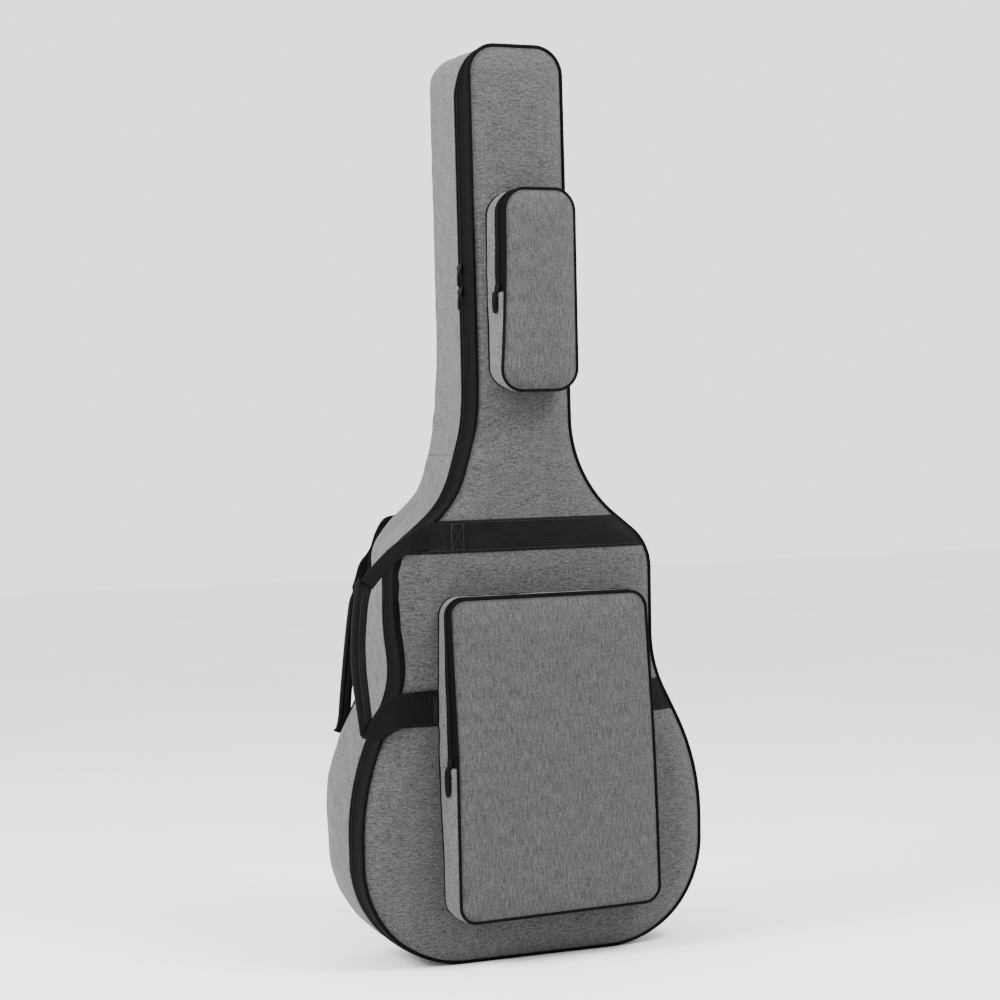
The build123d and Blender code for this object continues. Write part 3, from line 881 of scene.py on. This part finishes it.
def pocket_field(name, points):
    """How a pocket hangs away from the panel: its rim shifts more than its base."""
    low, high = node_box(name + "_gusset")
    rim_y = node_box(name + "_piping_face")[1][1]
    base_y = FRONT_Y - FRONT_PUFF * 0.8
    u = points[..., 0] / high[0]
    v = (points[..., 2] - (low[2] + high[2]) / 2) / ((high[2] - low[2]) / 2)
    out = np.clip((base_y - points[..., 1]) / (base_y - rim_y), 0, 1)
    up, down = np.clip(v, 0, 1.1), np.clip(-v, 0, 1.1)
    if name == "body_pocket":
        left = 8.0 - 5.5 * up - down
        right = 8.8 - 5.2 * v
        base = 4.0 * down + 5.5 * up
        rise = -4.0 * down * np.clip((1 - u) / 2, 0, 1)
    else:
        left = 5.6 + 5.3 * v - 2.8 * v**2
        right = 6.2 + 0.9 * v
        base = 1.5 * up
        rise = 3.8 * v
    shift = left * (1 - u) / 2 + right * (1 + u) / 2
    moved = points.copy()
    moved[..., 0] += shift * out + base * (1 - out)
    moved[..., 2] += rise * out
    return moved


def hang(obj, name):
    return reshaped(obj, lambda points: pocket_field(name, points))


def pocket(name, radius, face_puff):
    """A zipped pocket: face, corded edge, zipper halves, gusset and the cord along its base seam."""
    low, high = node_box(name + "_gusset")
    half, bottom, top = high[0], low[2], high[2]
    rim_y = node_box(name + "_piping_face")[1][1]
    zip_low_y = node_box(name + "_zip_flap")[1][1]
    zip_y = (zip_low_y + node_box(name + "_zip_base")[0][1]) / 2
    tape_end_y = node_box(name + "_zip_base")[1][1]
    crease_z = node_box(name + "_zip_base")[0][2]
    loop = rounded_rect(half, bottom, top, radius)
    crease = unit(np.array([2 * half, top - crease_z]))
    across = np.array([-crease[1], crease[0]])
    middle = np.array([0.0, (crease_z + top) / 2])

    def fold(obj):
        """Bakes a piece's transform into its mesh."""
        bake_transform(obj)

    x, z = panel_points(loop, 0.8, 46)
    depth = loop.depth(x, z)
    spots = plan(x, z)
    rise = puff(depth, face_puff, min(half * 0.75, 46), 2.2)
    soft = 0.7 * noise(spots, (60, 90, 50), 61) + 0.3 * noise(spots, (20, 34, 20), 62)
    rise = rise + soft * smooth(depth / 18) - 0.5 * hump(depth, 4, 1.5)
    face = hang(covered(name + "_face_pad", x, z, rim_y + 0.4 - rise, POCKET_FABRIC), name)
    thicken(face, 2.0)
    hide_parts(name + "_face", name + "_flap")
    fold(face)

    spots = loop.points - loop.normal * 0.4
    centres = np.stack([spots[:, 0], np.full(len(spots), rim_y - 0.4), spots[:, 1]], axis=1)
    cord = hang(tube(name + "_piping_cord", centres, 1.7, PIPING), name)
    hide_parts(name + "_piping_face", name + "_piping_flap")
    fold(cord)

    def zipped(x, z):
        side = (x - middle[0]) * across[0] + (z - middle[1]) * across[1]
        return side > 0

    slider_z = node_middle(name + "_slider")[2]

    def taped(x, z):
        return zipped(x, z) | ((x < 0) & (z > slider_z - 2))

    zip_run = loop.part(zipped)
    taped_run = loop.part(taped)
    plain_run = loop.part(lambda x, z: ~taped(x, z))
    surface = front_surface(loop.points[:, 0], loop.points[:, 1]) + 1.0
    upper = skirt(
        name + "_gusset_upper", loop, taped_run, tape_end_y - 2.5, surface[taped_run], SIDE_FABRIC, 1.4, 1
    )
    plain = skirt(
        name + "_gusset_plain", loop, plain_run, rim_y + 1.2, surface[plain_run], SIDE_FABRIC, 2.2, 2, 16
    )
    gusset = hang(joined(name + "_gusset_skin", [plain, upper]), name)
    thicken(gusset, FABRIC)
    placed(gusset, "lid", "heather_fabric", name + "_gusset")

    def tape(label, run, start_y, end_y, seed, steps):
        strip = skirt(name + label, loop, run, start_y, end_y, TAPE, 0.0, seed, steps)
        return thicken(strip, TAPE_CLOTH)

    def teeth(label, run, direction):
        edge_y = zip_y - POCKET_COIL_HALF * direction
        return coil(name + label, loop, run, edge_y, direction, 0.1, 1.8, 0.8, 2.3)

    stub_run = loop.part(lambda x, z: (x < 0) & (z > slider_z - 2) & (z < crease_z + 1))
    rear_half = [
        tape("_base_tape", zip_run, zip_y + 2.0, tape_end_y, 3, 4),
        teeth("_base_teeth", zip_run, -1),
        tape("_stub_tape", stub_run, rim_y + 1.4, tape_end_y, 5, 6),
        teeth("_stub_low", stub_run, -1),
        teeth("_stub_high", stub_run, 1),
    ]
    base = hang(joined(name + "_base_zipper", rear_half), name)
    placed(base, "lid", "zip_tape", name + "_zip_base")
    front_half = [
        tape("_flap_tape", zip_run, rim_y + 1.0, zip_y - 2.0, 4, 4),
        teeth("_flap_teeth", zip_run, 1),
    ]
    front = hang(joined(name + "_flap_zipper", front_half), name)
    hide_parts(name + "_zip_flap")
    fold(front)

    # The cord along the seam where the pocket gusset meets the panel takes the black tape colour: painted
    # shade for the dark crease line there.
    seam_points = loop.points + loop.normal * 0.9
    seam_y = front_surface(seam_points[:, 0], seam_points[:, 1]) - 0.8
    shade_cord_line = np.stack([seam_points[:, 0], seam_y, seam_points[:, 1]], axis=1)
    seam = hang(tube(name + "_base_seam_shade", shade_cord_line, 0.8, TAPE, sides=6), name)
    placed(seam, "lid", "heather_fabric")


# --- webbing and handles


# Where a band's points lie across its half width: close together at its selvedges.
SELVEDGES = np.array([-1, -0.97, -0.85, -0.5, 0, 0.5, 0.85, 0.97, 1])


def ribbon(name, centre, across, thickness, material):
    """A flat band from its centre line and half-width vectors, with rounded selvedges."""
    share = SELVEDGES
    ahead = unit(np.gradient(centre, axis=0))
    out = unit(np.cross(ahead, across))
    thin = np.array([0.45, 0.85, 1, 1, 1, 1, 1, 0.85, 0.45]) * thickness / 2
    near = centre[:, None] + across[:, None] * share[None, :, None] + out[:, None] * thin[None, :, None]
    far = centre[:, None] + across[:, None] * share[None, :, None] - out[:, None] * thin[None, :, None]
    grid = np.concatenate([near, far[:, ::-1]], axis=1)
    runs = distances(centre)
    wide = np.linalg.norm(across, axis=1)
    u = np.concatenate([share, share[::-1]])[None, :] * wide[:, None]
    uv = spread(u, runs[:, None])
    return rolled(name, grid, uv, material, turned=True)


def box_stitch(name, x0, x1, z0, z1, y, facing):
    """The square with a cross that holds two layers of webbing together."""
    corners = [(x0, z0), (x1, z0), (x1, z1), (x0, z1), (x0, z0), (x1, z1), (x1, z0), (x0, z1)]
    path = []
    for a, b in zip(corners[:-1], corners[1:]):
        for share in np.linspace(0, 1, 12, endpoint=False):
            path.append((a[0] + (b[0] - a[0]) * share, y, a[1] + (b[1] - a[1]) * share))
    return stitches(name, np.array(path), facing, 3.4, 2.5, 0.8)


def strap_band(node, surface, facing, body, tail):
    """A webbing strap sewn across a panel, with its doubled end that runs on to the handle."""
    low, high = node_box(node)
    middle_z = (low[2] + high[2]) / 2
    half_wide = (high[2] - low[2]) / 2
    z = np.tile(middle_z + SELVEDGES * half_wide, (150, 1))
    outline = RIM.rows()
    side = np.interp(z, outline[:, 1], outline[:, 0]) - 2.6
    x = np.linspace(-1, 1, 150)[:, None] * side
    lie = surface(x, z)
    lie = lie * 0.5 + np.mean(lie, axis=1, keepdims=True) * 0.5 * (1 + 0 * lie)
    lie = np.where(facing * (surface(x, z) - lie) > 0, surface(x, z), lie)
    lift = np.array([0.9, 1.3, 1.7, 1.7, 1.7, 1.7, 1.7, 1.3, 0.9])
    near = np.stack([x, lie + facing * lift, z], axis=-1)
    far = np.stack([x, lie - facing * 0.6, z], axis=-1)
    grid = np.concatenate([near, far[:, ::-1]], axis=1)
    uv = np.concatenate([np.stack([z, x], axis=-1), np.stack([z, x], axis=-1)[:, ::-1]], axis=1)
    band = rolled(node + "_band", grid, uv, WEBBING, flip=facing < 0, turned=facing < 0)
    edges = []
    for column in (1, 7):
        line = near[6:-6, column] + (0, facing * 0.25, 0)
        line[:, 2] += 2.2 if column == 1 else -2.2
        edges.append(stitches(node + "_edge", line, facing, 4.4, 3.1, 0.7))
    plane_y = low[1] + 1.2 if facing < 0 else high[1] - 1.2
    stations = []
    for top_x, top_z, low_x, low_z in tail:
        on_panel = surface(np.array([[top_x]]), np.array([[(top_z + low_z) / 2]]))[0, 0]
        loose = smooth((tail[2][0] - top_x) / (tail[2][0] - tail[-1][0]))
        y = (on_panel + facing * 2.6) * (1 - loose) + plane_y * loose
        stations.append((top_x, top_z, low_x, low_z, 0.9, y))
    doubled = webbing_loft(node + "_tail", stations, facing)
    stitch_y = stations[0][5] + facing * 1.0
    box = tail[0][0] - 3, tail[2][0] + 2, middle_z - 15, middle_z + 15
    cross = box_stitch(node + "_cross", *box, stitch_y, facing)
    strap = joined(node + "_strap", [band, doubled, cross] + edges)
    placed(strap, body, "webbing", node)


def catmull(stations, steps):
    """A smooth run through rows of numbers, steps rows for each gap."""
    rows = np.array(stations, float)
    padded = np.vstack([2 * rows[0] - rows[1], rows, 2 * rows[-1] - rows[-2]])
    out = []
    for k in range(len(rows) - 1):
        a, b, c, d = padded[k : k + 4]
        for t in np.linspace(0, 1, steps, endpoint=False):
            square, cube = 2 * a - 5 * b + 4 * c - d, 3 * b - a - 3 * c + d
            out.append(0.5 * (2 * b + (c - a) * t + square * t**2 + cube * t**3))
    out.append(rows[-1])
    return np.array(out)


def webbing_loft(name, stations, facing, steps=7):
    """Webbing through stations of (edge x, z, other edge x, z, half thickness, y), folded where thick."""
    rows = catmull(stations, steps)
    outer = np.stack([rows[:, 0], rows[:, 5], rows[:, 1]], axis=1)
    inner = np.stack([rows[:, 2], rows[:, 5], rows[:, 3]], axis=1)
    middle, across = (outer + inner) / 2, (outer - inner) / 2
    thick = rows[:, 4][:, None]
    turn = full_turn(28)
    c, s = np.cos(turn)[None, :], np.sin(turn)[None, :]
    folded = smooth((thick - 1.6) / 2.4)
    wide = np.sign(c) * np.abs(c) ** (0.25 + 0.5 * folded)
    deep = np.sign(s) * np.abs(s) ** (0.35 + 0.35 * folded)
    groove = folded * 0.42 * hump(c, 0.25, 0.13) * np.sign(s)
    grid = middle[:, None] + across[:, None] * wide[..., None]
    grid[..., 1] += facing * thick * (deep - groove)
    runs = distances(middle)
    u = np.interp(turn, [0, math.pi, 2 * math.pi], [0, 38, 76])
    uv = spread(u[None, :], runs[:, None])
    return rolled(name, grid, uv, WEBBING, flip=facing > 0)


def handle(node, top_leg, grip, low_leg, facing):
    """A carry handle: flat legs of webbing folded over onto a grip that is folded and sewn."""
    plane_y = node_middle(node)[1]
    parts = []
    for label, stations in (("top", top_leg), ("grip", grip), ("low", low_leg)):
        shifted = [(*row[:5], plane_y + facing * row[5]) for row in stations]
        parts.append(webbing_loft(node + "_" + label, shifted, facing))
    rows = catmull(grip, 7)[10:-10]
    seam_x = (rows[:, 0] * 0.62 + rows[:, 2] * 0.38) + 1.2
    seam_y = plane_y + facing * (rows[:, 5] + rows[:, 4] * 0.93)
    seam = np.stack([seam_x, seam_y, (rows[:, 1] + rows[:, 3]) / 2], axis=1)
    parts.append(stitches(node + "_stitch", seam, facing, wide=0.8))
    obj = joined(node + "_loop", parts)
    placed(obj, node, "webbing", node)


# Each row is (outer edge x, z, inner edge x, z) and, for the handles, half thickness and offset.
FRONT_UPPER_TAIL = [
    (-84, 521, -84, 483), (-94, 520.5, -94, 483.5), (-104, 520, -104, 484), (-118, 520, -118, 485.5),
    (-130, 519, -130, 487), (-142, 514.5, -142, 488.5), (-154.8, 508.5, -154.8, 486),
]
FRONT_LOWER_TAIL = [
    (-124, 325, -124, 287), (-128, 325, -128, 287), (-132, 325, -132, 287), (-143, 324.8, -143, 286.5),
    (-154.8, 324.4, -154.8, 286),
]
REAR_UPPER_TAIL = [
    (-84, 521, -84, 483), (-94, 521, -94, 483), (-104, 520.5, -104, 482), (-116, 519, -116, 477),
    (-130, 515, -129, 467), (-143, 500, -142, 451), (-154.8, 481.5, -154.8, 434),
]
REAR_LOWER_TAIL = [
    (-124, 325, -124, 287), (-128, 325, -128, 287), (-132, 325, -132, 287), (-143, 323.5, -143, 286),
    (-154.8, 320, -154.8, 284),
]
FRONT_TOP_LEG = [
    (-154.8, 508.5, -154.8, 486, 0.9, 0), (-166, 501.5, -162.5, 481.8, 1.1, 0.4),
    (-177.5, 494.6, -170.5, 477, 1.3, 1.0), (-191, 483.5, -181, 468.5, 1.5, 1.8),
    (-203, 472.3, -190.5, 460.6, 1.5, 2.6), (-216.5, 456.5, -203.5, 446, 1.5, 3.0),
]
FRONT_GRIP = [
    (-219, 459, -202, 454, 2.4, -2.2), (-222.5, 449, -203.5, 446, 3.6, -0.8),
    (-226, 431, -208, 430.5, 4.3, 0), (-229, 408, -211, 407, 4.6, 0), (-230.5, 385, -213, 384, 4.6, 0),
    (-230.8, 361, -213, 360.5, 4.6, 0), (-229.6, 338, -211.4, 337, 4.5, 0),
    (-226.4, 314, -208.8, 313, 4.0, -0.6), (-223.6, 295, -207, 294, 3.0, -1.6),
    (-221.2, 277.5, -209, 281, 2.0, -2.6),
]
FRONT_LOW_LEG = [
    (-221.6, 276, -211.5, 292.5, 1.5, 2.2), (-210, 272.6, -203, 304.3, 1.5, 2.0),
    (-198.5, 271, -195, 313.2, 1.4, 1.6), (-184, 278, -182.3, 320.6, 1.2, 1.0),
    (-167, 284.5, -166, 324, 1.0, 0.4), (-154.8, 286, -154.8, 324.4, 0.9, 0),
]
REAR_TOP_LEG = [
    (-154.8, 481.5, -154.8, 434, 0.9, 0), (-160.6, 471, -156.2, 430, 1.2, 0.5),
    (-165, 455, -157.4, 426, 1.5, 1.4), (-170, 440, -159, 421, 1.5, 2.4),
]
REAR_GRIP = [
    (-167, 448, -157, 432, 2.4, -2.0), (-171, 434, -158.6, 424, 3.4, -0.8),
    (-175.2, 422, -160.2, 416, 4.2, 0), (-181, 385.3, -165.6, 384, 4.6, 0),
    (-185.7, 348.5, -170.4, 348, 4.6, 0), (-190.2, 311.6, -175.2, 311.6, 4.4, 0),
    (-193.6, 284.7, -178, 284, 3.4, -1.0), (-197.8, 270, -181, 267, 2.4, -2.4),
]
REAR_LOW_LEG = [
    (-199.6, 268.4, -183, 281, 1.5, 2.2), (-190, 265, -178.5, 287, 1.4, 2.0),
    (-179, 268, -174, 296.5, 1.2, 1.2), (-166, 277, -165.5, 310, 1.0, 0.4),
    (-154.8, 284, -154.8, 320, 0.9, 0),
]


# --- sliders and pulls


def rounded_block(name, low, high, bevel, material, segments=3):
    """A box with softened edges."""
    low, high = np.array(low, float), np.array(high, float)
    corners = np.array([[(low, high)[k][a] for a, k in enumerate(c)] for c in np.ndindex(2, 2, 2)])
    faces = [(0, 1, 3, 2), (4, 6, 7, 5), (0, 4, 5, 1), (2, 3, 7, 6), (0, 2, 6, 4), (1, 5, 7, 3)]
    obj = mesh_object(name, corners, faces, None, material, soft=False)
    return bevelled(obj, bevel, segments, every_edge=True)


def bent_wire(name, points, radius, material, closed=False):
    """A wire through given corners, rounded."""
    smooth_points = catmull(points + points[:1] if closed else points, 6)
    if closed:
        smooth_points = smooth_points[:-1]
    return tube(name, smooth_points, radius, material, closed=closed, sides=8)


def follow(obj, node):
    """Moves a pocket's slider or pull whole, the way the pocket has moved at its place."""
    name = node.rsplit("_", 1)[0]
    if name in ("body_pocket", "neck_pocket"):
        spot = node_middle(name + "_slider")[None]
        shift = (pocket_field(name, spot) - spot)[0]
        obj.data.transform(Matrix.Translation(Vector(shift * MM)))
    return obj


# A slider's top plate, in shares of its half width and half length.
SLIDER_OUTLINE = [(-1, 0.95), (-0.98, 0.35), (-0.62, -0.35), (-0.6, -1), (0.6, -1), (0.62, -0.35)]
SLIDER_OUTLINE += [(0.98, 0.35), (1, 0.95), (0.35, 1.05), (0, 0.8), (-0.35, 1.05)]


def slider_body(node, half_wide=5.2):
    """A zipper slider on a wall that faces -X: its shaped top plate and the staple."""
    low, high = node_box(node)
    y, z = (low[1] + high[1]) / 2, (low[2] + high[2]) / 2
    half = (high[2] - low[2]) / 2
    outline = [(a * half_wide, b * half) for a, b in SLIDER_OUTLINE]
    outer_x = high[0] - 1.9
    verts = [(x, y + a, z + b) for x in (high[0] - 0.1, outer_x) for a, b in outline]
    count = len(outline)
    faces = [list(range(count)), list(range(count, 2 * count))[::-1]]
    faces += [[k, k + count, (k + 1) % count + count, (k + 1) % count] for k in range(count)]
    plate = mesh_object(node + "_plate", verts, faces, None, METAL)
    bevelled(plate, 0.5, 2)
    top_x = low[0] + 0.6
    arch = [
        (outer_x + 0.3, y, z + half * 0.62),
        (top_x + 0.8, y, z + half * 0.58),
        (top_x, y, z + half * 0.25),
        (top_x, y, z - half * 0.3),
        (top_x + 0.8, y, z - half * 0.62),
        (outer_x + 0.3, y, z - half * 0.66),
    ]
    staple = bent_wire(node + "_staple", arch, 0.75, METAL)
    obj = follow(joined(node + "_cast", [plate, staple]), node)
    placed(obj, node, "slider_metal", node)


def pull_tab(node, material, slot, wide, thick, loop_long, twist):
    """A pull: a wire loop through the staple and a rounded tab below it, twisted to face forward."""
    low, high = node_box(node)
    x, y = (low[0] + high[0]) / 2, (low[1] + high[1]) / 2
    top, bottom = high[2], low[2]
    half = 2.6
    ring = [
        (x, y - half * 0.75, top - 0.2),
        (x, y + half * 0.75, top - 0.2),
        (x, y + half, top - 1.8),
        (x, y + half * 0.8, top - loop_long),
        (x, y, top - loop_long - 1.0),
        (x, y - half * 0.8, top - loop_long),
        (x, y - half, top - 1.8),
    ]
    wire = bent_wire(node + "_ring", ring, 0.6, METAL, closed=True)
    tab_top = top - loop_long + 0.6
    verts, faces = capsule(tab_top - bottom, wide, thick, sides=12)
    upright = np.stack([x + verts[:, 2], y + verts[:, 1], (tab_top + bottom) / 2 + verts[:, 0]], axis=1)
    tab = mesh_object(node + "_tab", upright, faces, None, material, soft=False)
    rib = rounded_block(
        node + "_rib",
        (x - thick / 2 - 0.3, y - wide * 0.22, bottom + 0.22 * (tab_top - bottom)),
        (x + thick / 2 + 0.3, y + wide * 0.22, bottom + 0.7 * (tab_top - bottom)),
        0.3,
        material,
        2,
    )
    spin = Matrix.Rotation(math.radians(twist), 4, "Z")
    centre = Vector((x * MM, y * MM, 0))
    out = Matrix.Translation((-0.3 * wide * abs(math.sin(math.radians(twist))) * MM, 0, 0))
    for part in (tab, rib):
        part.data.transform(Matrix.Translation(-centre))
        part.data.transform(Matrix.Translation(centre) @ out @ spin)
    obj = follow(joined(node + "_piece", [wire, tab, rib]), node)
    placed(obj, node, slot, node)


# --- shoulder straps on the back


def strap_axis(side):
    """A strap's upper and lower ends in the back's plane, from its CAD pieces."""
    sign = -1 if side == "left" else 1
    pad_low, pad_high = node_box("strap_pad_" + side)
    top = np.array([sign * (min(abs(pad_low[0]), abs(pad_high[0])) + 28), pad_high[2]])
    bottom = np.array([sign * (max(abs(pad_low[0]), abs(pad_high[0])) - 28), pad_low[2]])
    return top, bottom


def shoulder_pad(side):
    """A padded shoulder strap: a crowned foam pad with bound edges and two quilting lines."""
    node = "strap_pad_" + side
    low, high = node_box(node)
    top, bottom = strap_axis(side)
    length = np.linalg.norm(top - bottom)
    ahead2 = unit(top - bottom)
    side2 = np.array([ahead2[1], -ahead2[0]])
    count, cols = 64, 28
    t = np.linspace(0, 1, count)
    into_end = np.clip(np.abs(t - 0.5) * 2 - 0.88, 0, 1) / 0.12
    end_round = np.minimum(1, np.sqrt(np.clip(1 - into_end**2, 0, 1)))
    wide = PAD_HALF_WIDE * (0.45 + 0.55 * end_round)
    turn = full_turn(cols)
    c, s = np.cos(turn), np.sin(turn)
    u = np.sign(c) * np.abs(c) ** 0.55
    back, front = low[1] + 0.3, high[1] - 0.6
    middle_y, half_y = (back + front) / 2, (front - back) / 2
    crown = np.sign(s) * np.abs(s) ** 0.6
    groove = hump(np.abs(u), 0.42, 0.07) * (s > 0.2) * 0.22
    line = bottom[None] + (top - bottom)[None] * t[:, None]
    grid = np.empty((count, cols, 3))
    grid[..., 0] = line[:, None, 0] + side2[0] * wide[:, None] * u[None]
    grid[..., 2] = line[:, None, 1] + side2[1] * wide[:, None] * u[None]
    grid[..., 1] = 0
    lump = 1 + 0.08 * noise(grid, (22, 22, 22), 71)
    full = (0.55 + 0.45 * end_round)[:, None]
    grid[..., 1] = middle_y + half_y * 0.95 * (crown - groove)[None] * lump * full
    uv = spread(u[None] * PAD_HALF_WIDE, (t * length)[:, None])
    pad = rolled(node + "_quilted", grid, uv, MESH_CLOTH, flip=True)
    pad.modifiers.new("round", "SUBSURF").render_levels = 1
    ring = np.vstack([grid[:, 0], grid[::-1, cols // 2]])
    binding = tube(node + "_binding", resampled(ring, 3.0)[0], 1.7, PIPING, sides=8)
    placed(binding, "shell", "piping")
    placed(pad, "shell", "strap_mesh", node, fill=0.7)


def strap_webbing(side):
    """The narrow webbing from a pad's lower end to its anchor, and the anchor's patch."""
    node = "strap_webbing_" + side
    anchor = "strap_anchor_" + side
    top, bottom = strap_axis(side)
    end = node_middle(anchor)[[0, 2]]
    y = node_middle(node)[1]
    start = bottom + unit(top - bottom) * 12
    ahead2 = unit(end - start)
    side2 = np.array([ahead2[1], -ahead2[0]])
    t = np.linspace(0, 1, 40)[:, None]
    line = start + (end + ahead2 * 6 - start) * t
    centre = np.stack([line[:, 0], np.full(40, y), line[:, 1]], axis=1)
    across = np.tile((side2[0] * STRAP_HALF_WIDE, 0, side2[1] * STRAP_HALF_WIDE), (40, 1))
    band = ribbon(node + "_band", centre, across, 1.5, WEBBING)
    placed(band, "shell", "webbing", node)
    patch_y = (node_box(anchor)[0][1] + 0.9) + 0.4
    t = np.linspace(-1, 1, 14)[:, None]
    line = end + ahead2 * 17 * t
    centre = np.stack([line[:, 0], np.full(14, patch_y), line[:, 1]], axis=1)
    across = np.tile((side2[0] * 23, 0, side2[1] * 23), (14, 1))
    patch = ribbon(anchor + "_patch", centre, across, 2.6, WEBBING)
    cross_y = y + 0.9
    row = []
    for share in (-8, 8):
        a = end + ahead2 * share - side2 * 11
        b = end + ahead2 * share + side2 * 11
        path = np.array([(a[0], cross_y, a[1]), (b[0], cross_y, b[1])])
        row.append(stitches(anchor + "_row", path, 1))
    patch = joined(anchor + "_patch", [patch] + row)
    placed(patch, "shell", "webbing", anchor)


def strap_adjuster(side):
    """A moulded slide buckle round the strap's webbing: a frame with a middle bar."""
    node = "strap_adjuster_" + side
    centre = node_middle(node)
    _, bottom = strap_axis(side)
    end = node_middle("strap_anchor_" + side)[[0, 2]]
    ahead2 = unit(end - bottom)
    tilt = math.atan2(ahead2[0], -ahead2[1])
    parts = []
    for low_z, high_z in ((-12, -8), (-2.2, 2.2), (8, 12)):
        parts.append(((-15.5, 1.4, low_z), (15.5, 4.0, high_z)))
        parts.append(((-15.5, -3.0, low_z), (15.5, -1.5, high_z)))
    for side_x in (-1, 1):
        parts.append(((side_x * 16.2 - 2, -3.0, -12), (side_x * 16.2 + 2, 4.0, 12)))
    blocks = [rounded_block(node + "_bar", a, b, 0.7, PLASTIC, 2) for a, b in parts]
    obj = joined(node + "_buckle", blocks)
    spin = Matrix.Rotation(tilt, 4, "Y")
    move = Matrix.Translation(Vector(centre * MM))
    obj.data.transform(move @ spin)
    placed(obj, node, "pull_plastic", node)


def strap_yoke():
    """The patch across the tops of the shoulder straps."""
    low, high = node_box("strap_yoke")
    x = np.linspace(low[0], high[0], 40)
    middle_z = (low[2] + high[2]) / 2
    y = back_surface(x, x * 0 + middle_z) + 1.4
    centre = np.stack([x, y, 0 * x + middle_z], axis=1)
    across = np.tile((0.0, 0.0, (high[2] - low[2]) / 2), (len(x), 1))
    patch = ribbon("strap_yoke_patch", centre, across, 2.4, WEBBING)
    rows = []
    for side in (-1, 1):
        line = centre + (0, 1.3, side * 15)
        rows.append(stitches("yoke_row", line, 1))
    patch = joined("strap_yoke_patch", [patch] + rows)
    placed(patch, "shell", "webbing", "strap_yoke")


# --- the studio


def area_light(name, place, aim, size, power):
    data = bpy.data.lights.new(name, "AREA")
    data.energy = power
    data.shape = "RECTANGLE"
    data.size, data.size_y = size
    lamp = bpy.data.objects.new(name, data)
    bpy.context.scene.collection.objects.link(lamp)
    lamp.location = place
    lamp.rotation_euler = (Vector(aim) - Vector(place)).to_track_quat("-Z", "Y").to_euler()


def studio():
    """Pale floor, soft light and the camera."""
    floor = mesh_object(
        "studio_floor",
        [(-9000, -9000, 0), (9000, -9000, 0), (9000, 9000, 0), (-9000, 9000, 0)],
        [(0, 1, 2, 3)],
        soft=False,
    )
    material, tree, shader = new_material("pale_floor", (0.86, 0.86, 0.86), 0.8)
    coords = add_node(tree, "ShaderNodeTexCoord").outputs["Object"]
    cloud = add_node(tree, "ShaderNodeTexNoise", {"Vector": coords, "Scale": 2.0}).outputs[0]
    tree.links.new(ramp_node(tree, cloud, [(0.3, 0.84), (0.7, 0.88)]), shader.inputs["Base Color"])
    floor.data.materials.append(material)
    world = bpy.data.worlds.new("studio_world")
    bpy.context.scene.world = world
    world.use_nodes = True
    background = world.node_tree.nodes["Background"]
    background.inputs["Color"].default_value = (1, 1, 1, 1)
    background.inputs["Strength"].default_value = 2.1
    area_light("key", (-2.0, -0.35, 1.9), (0, 0, 0.6), (1.0, 1.0), 120)
    area_light("front", (0.75, -1.15, 1.95), (0, 0, 1.0), (0.7, 0.7), 62)
    area_light("top", (0.3, -0.9, 3.2), (0, 0, 0.5), (2.2, 2.2), 15)

    azimuth, elevation, roll = (math.radians(a) for a in (-24.0, 1.0, -1.52))
    aim = Vector((0, FRONT_Y * MM, 0.542))
    level = math.cos(elevation)
    back = Vector((math.sin(azimuth) * level, -math.cos(azimuth) * level, math.sin(elevation)))
    right = (-back).cross(Vector((0, 0, 1))).normalized()
    up = right.cross(-back)
    c, s = math.cos(roll), math.sin(roll)
    right, up = c * right + s * up, -s * right + c * up
    distance = 2.928
    place = aim + back * distance
    data = bpy.data.cameras.new("camera")
    data.lens = 88.8
    data.sensor_width = 36
    data.shift_x = -0.0258
    camera = bpy.data.objects.new("camera", data)
    bpy.context.scene.collection.objects.link(camera)
    turned = Matrix((right, up, back)).transposed().to_4x4()
    camera.matrix_world = Matrix.Translation(place) @ turned
    bpy.context.scene.camera = camera


MESH_CLOTH = object_noise_material("air_mesh", (0.005, 0.005, 0.0055), 0.9, 1.5, 0.35)

studio()
cover("front", "lid", front_surface, 1.2, 84, 5.0, FRONT_Y + 9, 1, 0.55)
cover("back", "shell", back_surface, BACK_ROUND, 72, BACK_ROUND + 4, BACK_Y - 9, -1, 0.5)
gusset_parts()
linings()
front_piping()
lid_zipper_side()
main_zipper()
pocket("body_pocket", 20, 9.0)
pocket("neck_pocket", 26, 9.0)
strap_band("webbing_upper", front_surface, -1, "lid", FRONT_UPPER_TAIL)
strap_band("webbing_lower", front_surface, -1, "lid", FRONT_LOWER_TAIL)
strap_band("back_webbing_upper", back_surface, 1, "shell", REAR_UPPER_TAIL)
strap_band("back_webbing_lower", back_surface, 1, "shell", REAR_LOWER_TAIL)
handle("front_handle", FRONT_TOP_LEG, FRONT_GRIP, FRONT_LOW_LEG, -1)
handle("rear_handle", REAR_TOP_LEG, REAR_GRIP, REAR_LOW_LEG, 1)
for slider_node in ("main_slider_upper", "main_slider_lower", "body_pocket_slider", "neck_pocket_slider"):
    slider_body(slider_node)
for pull_node in ("main_pull_upper", "main_pull_lower"):
    pull_tab(pull_node, METAL, "slider_metal", 3.6, 1.8, 5.0, 35)
for pull_node in ("body_pocket_pull", "neck_pocket_pull"):
    pull_tab(pull_node, PLASTIC, "pull_plastic", 7.4, 3.0, 4.0, 50)
for strap_side in ("left", "right"):
    shoulder_pad(strap_side)
    strap_webbing(strap_side)
    strap_adjuster(strap_side)
strap_yoke()
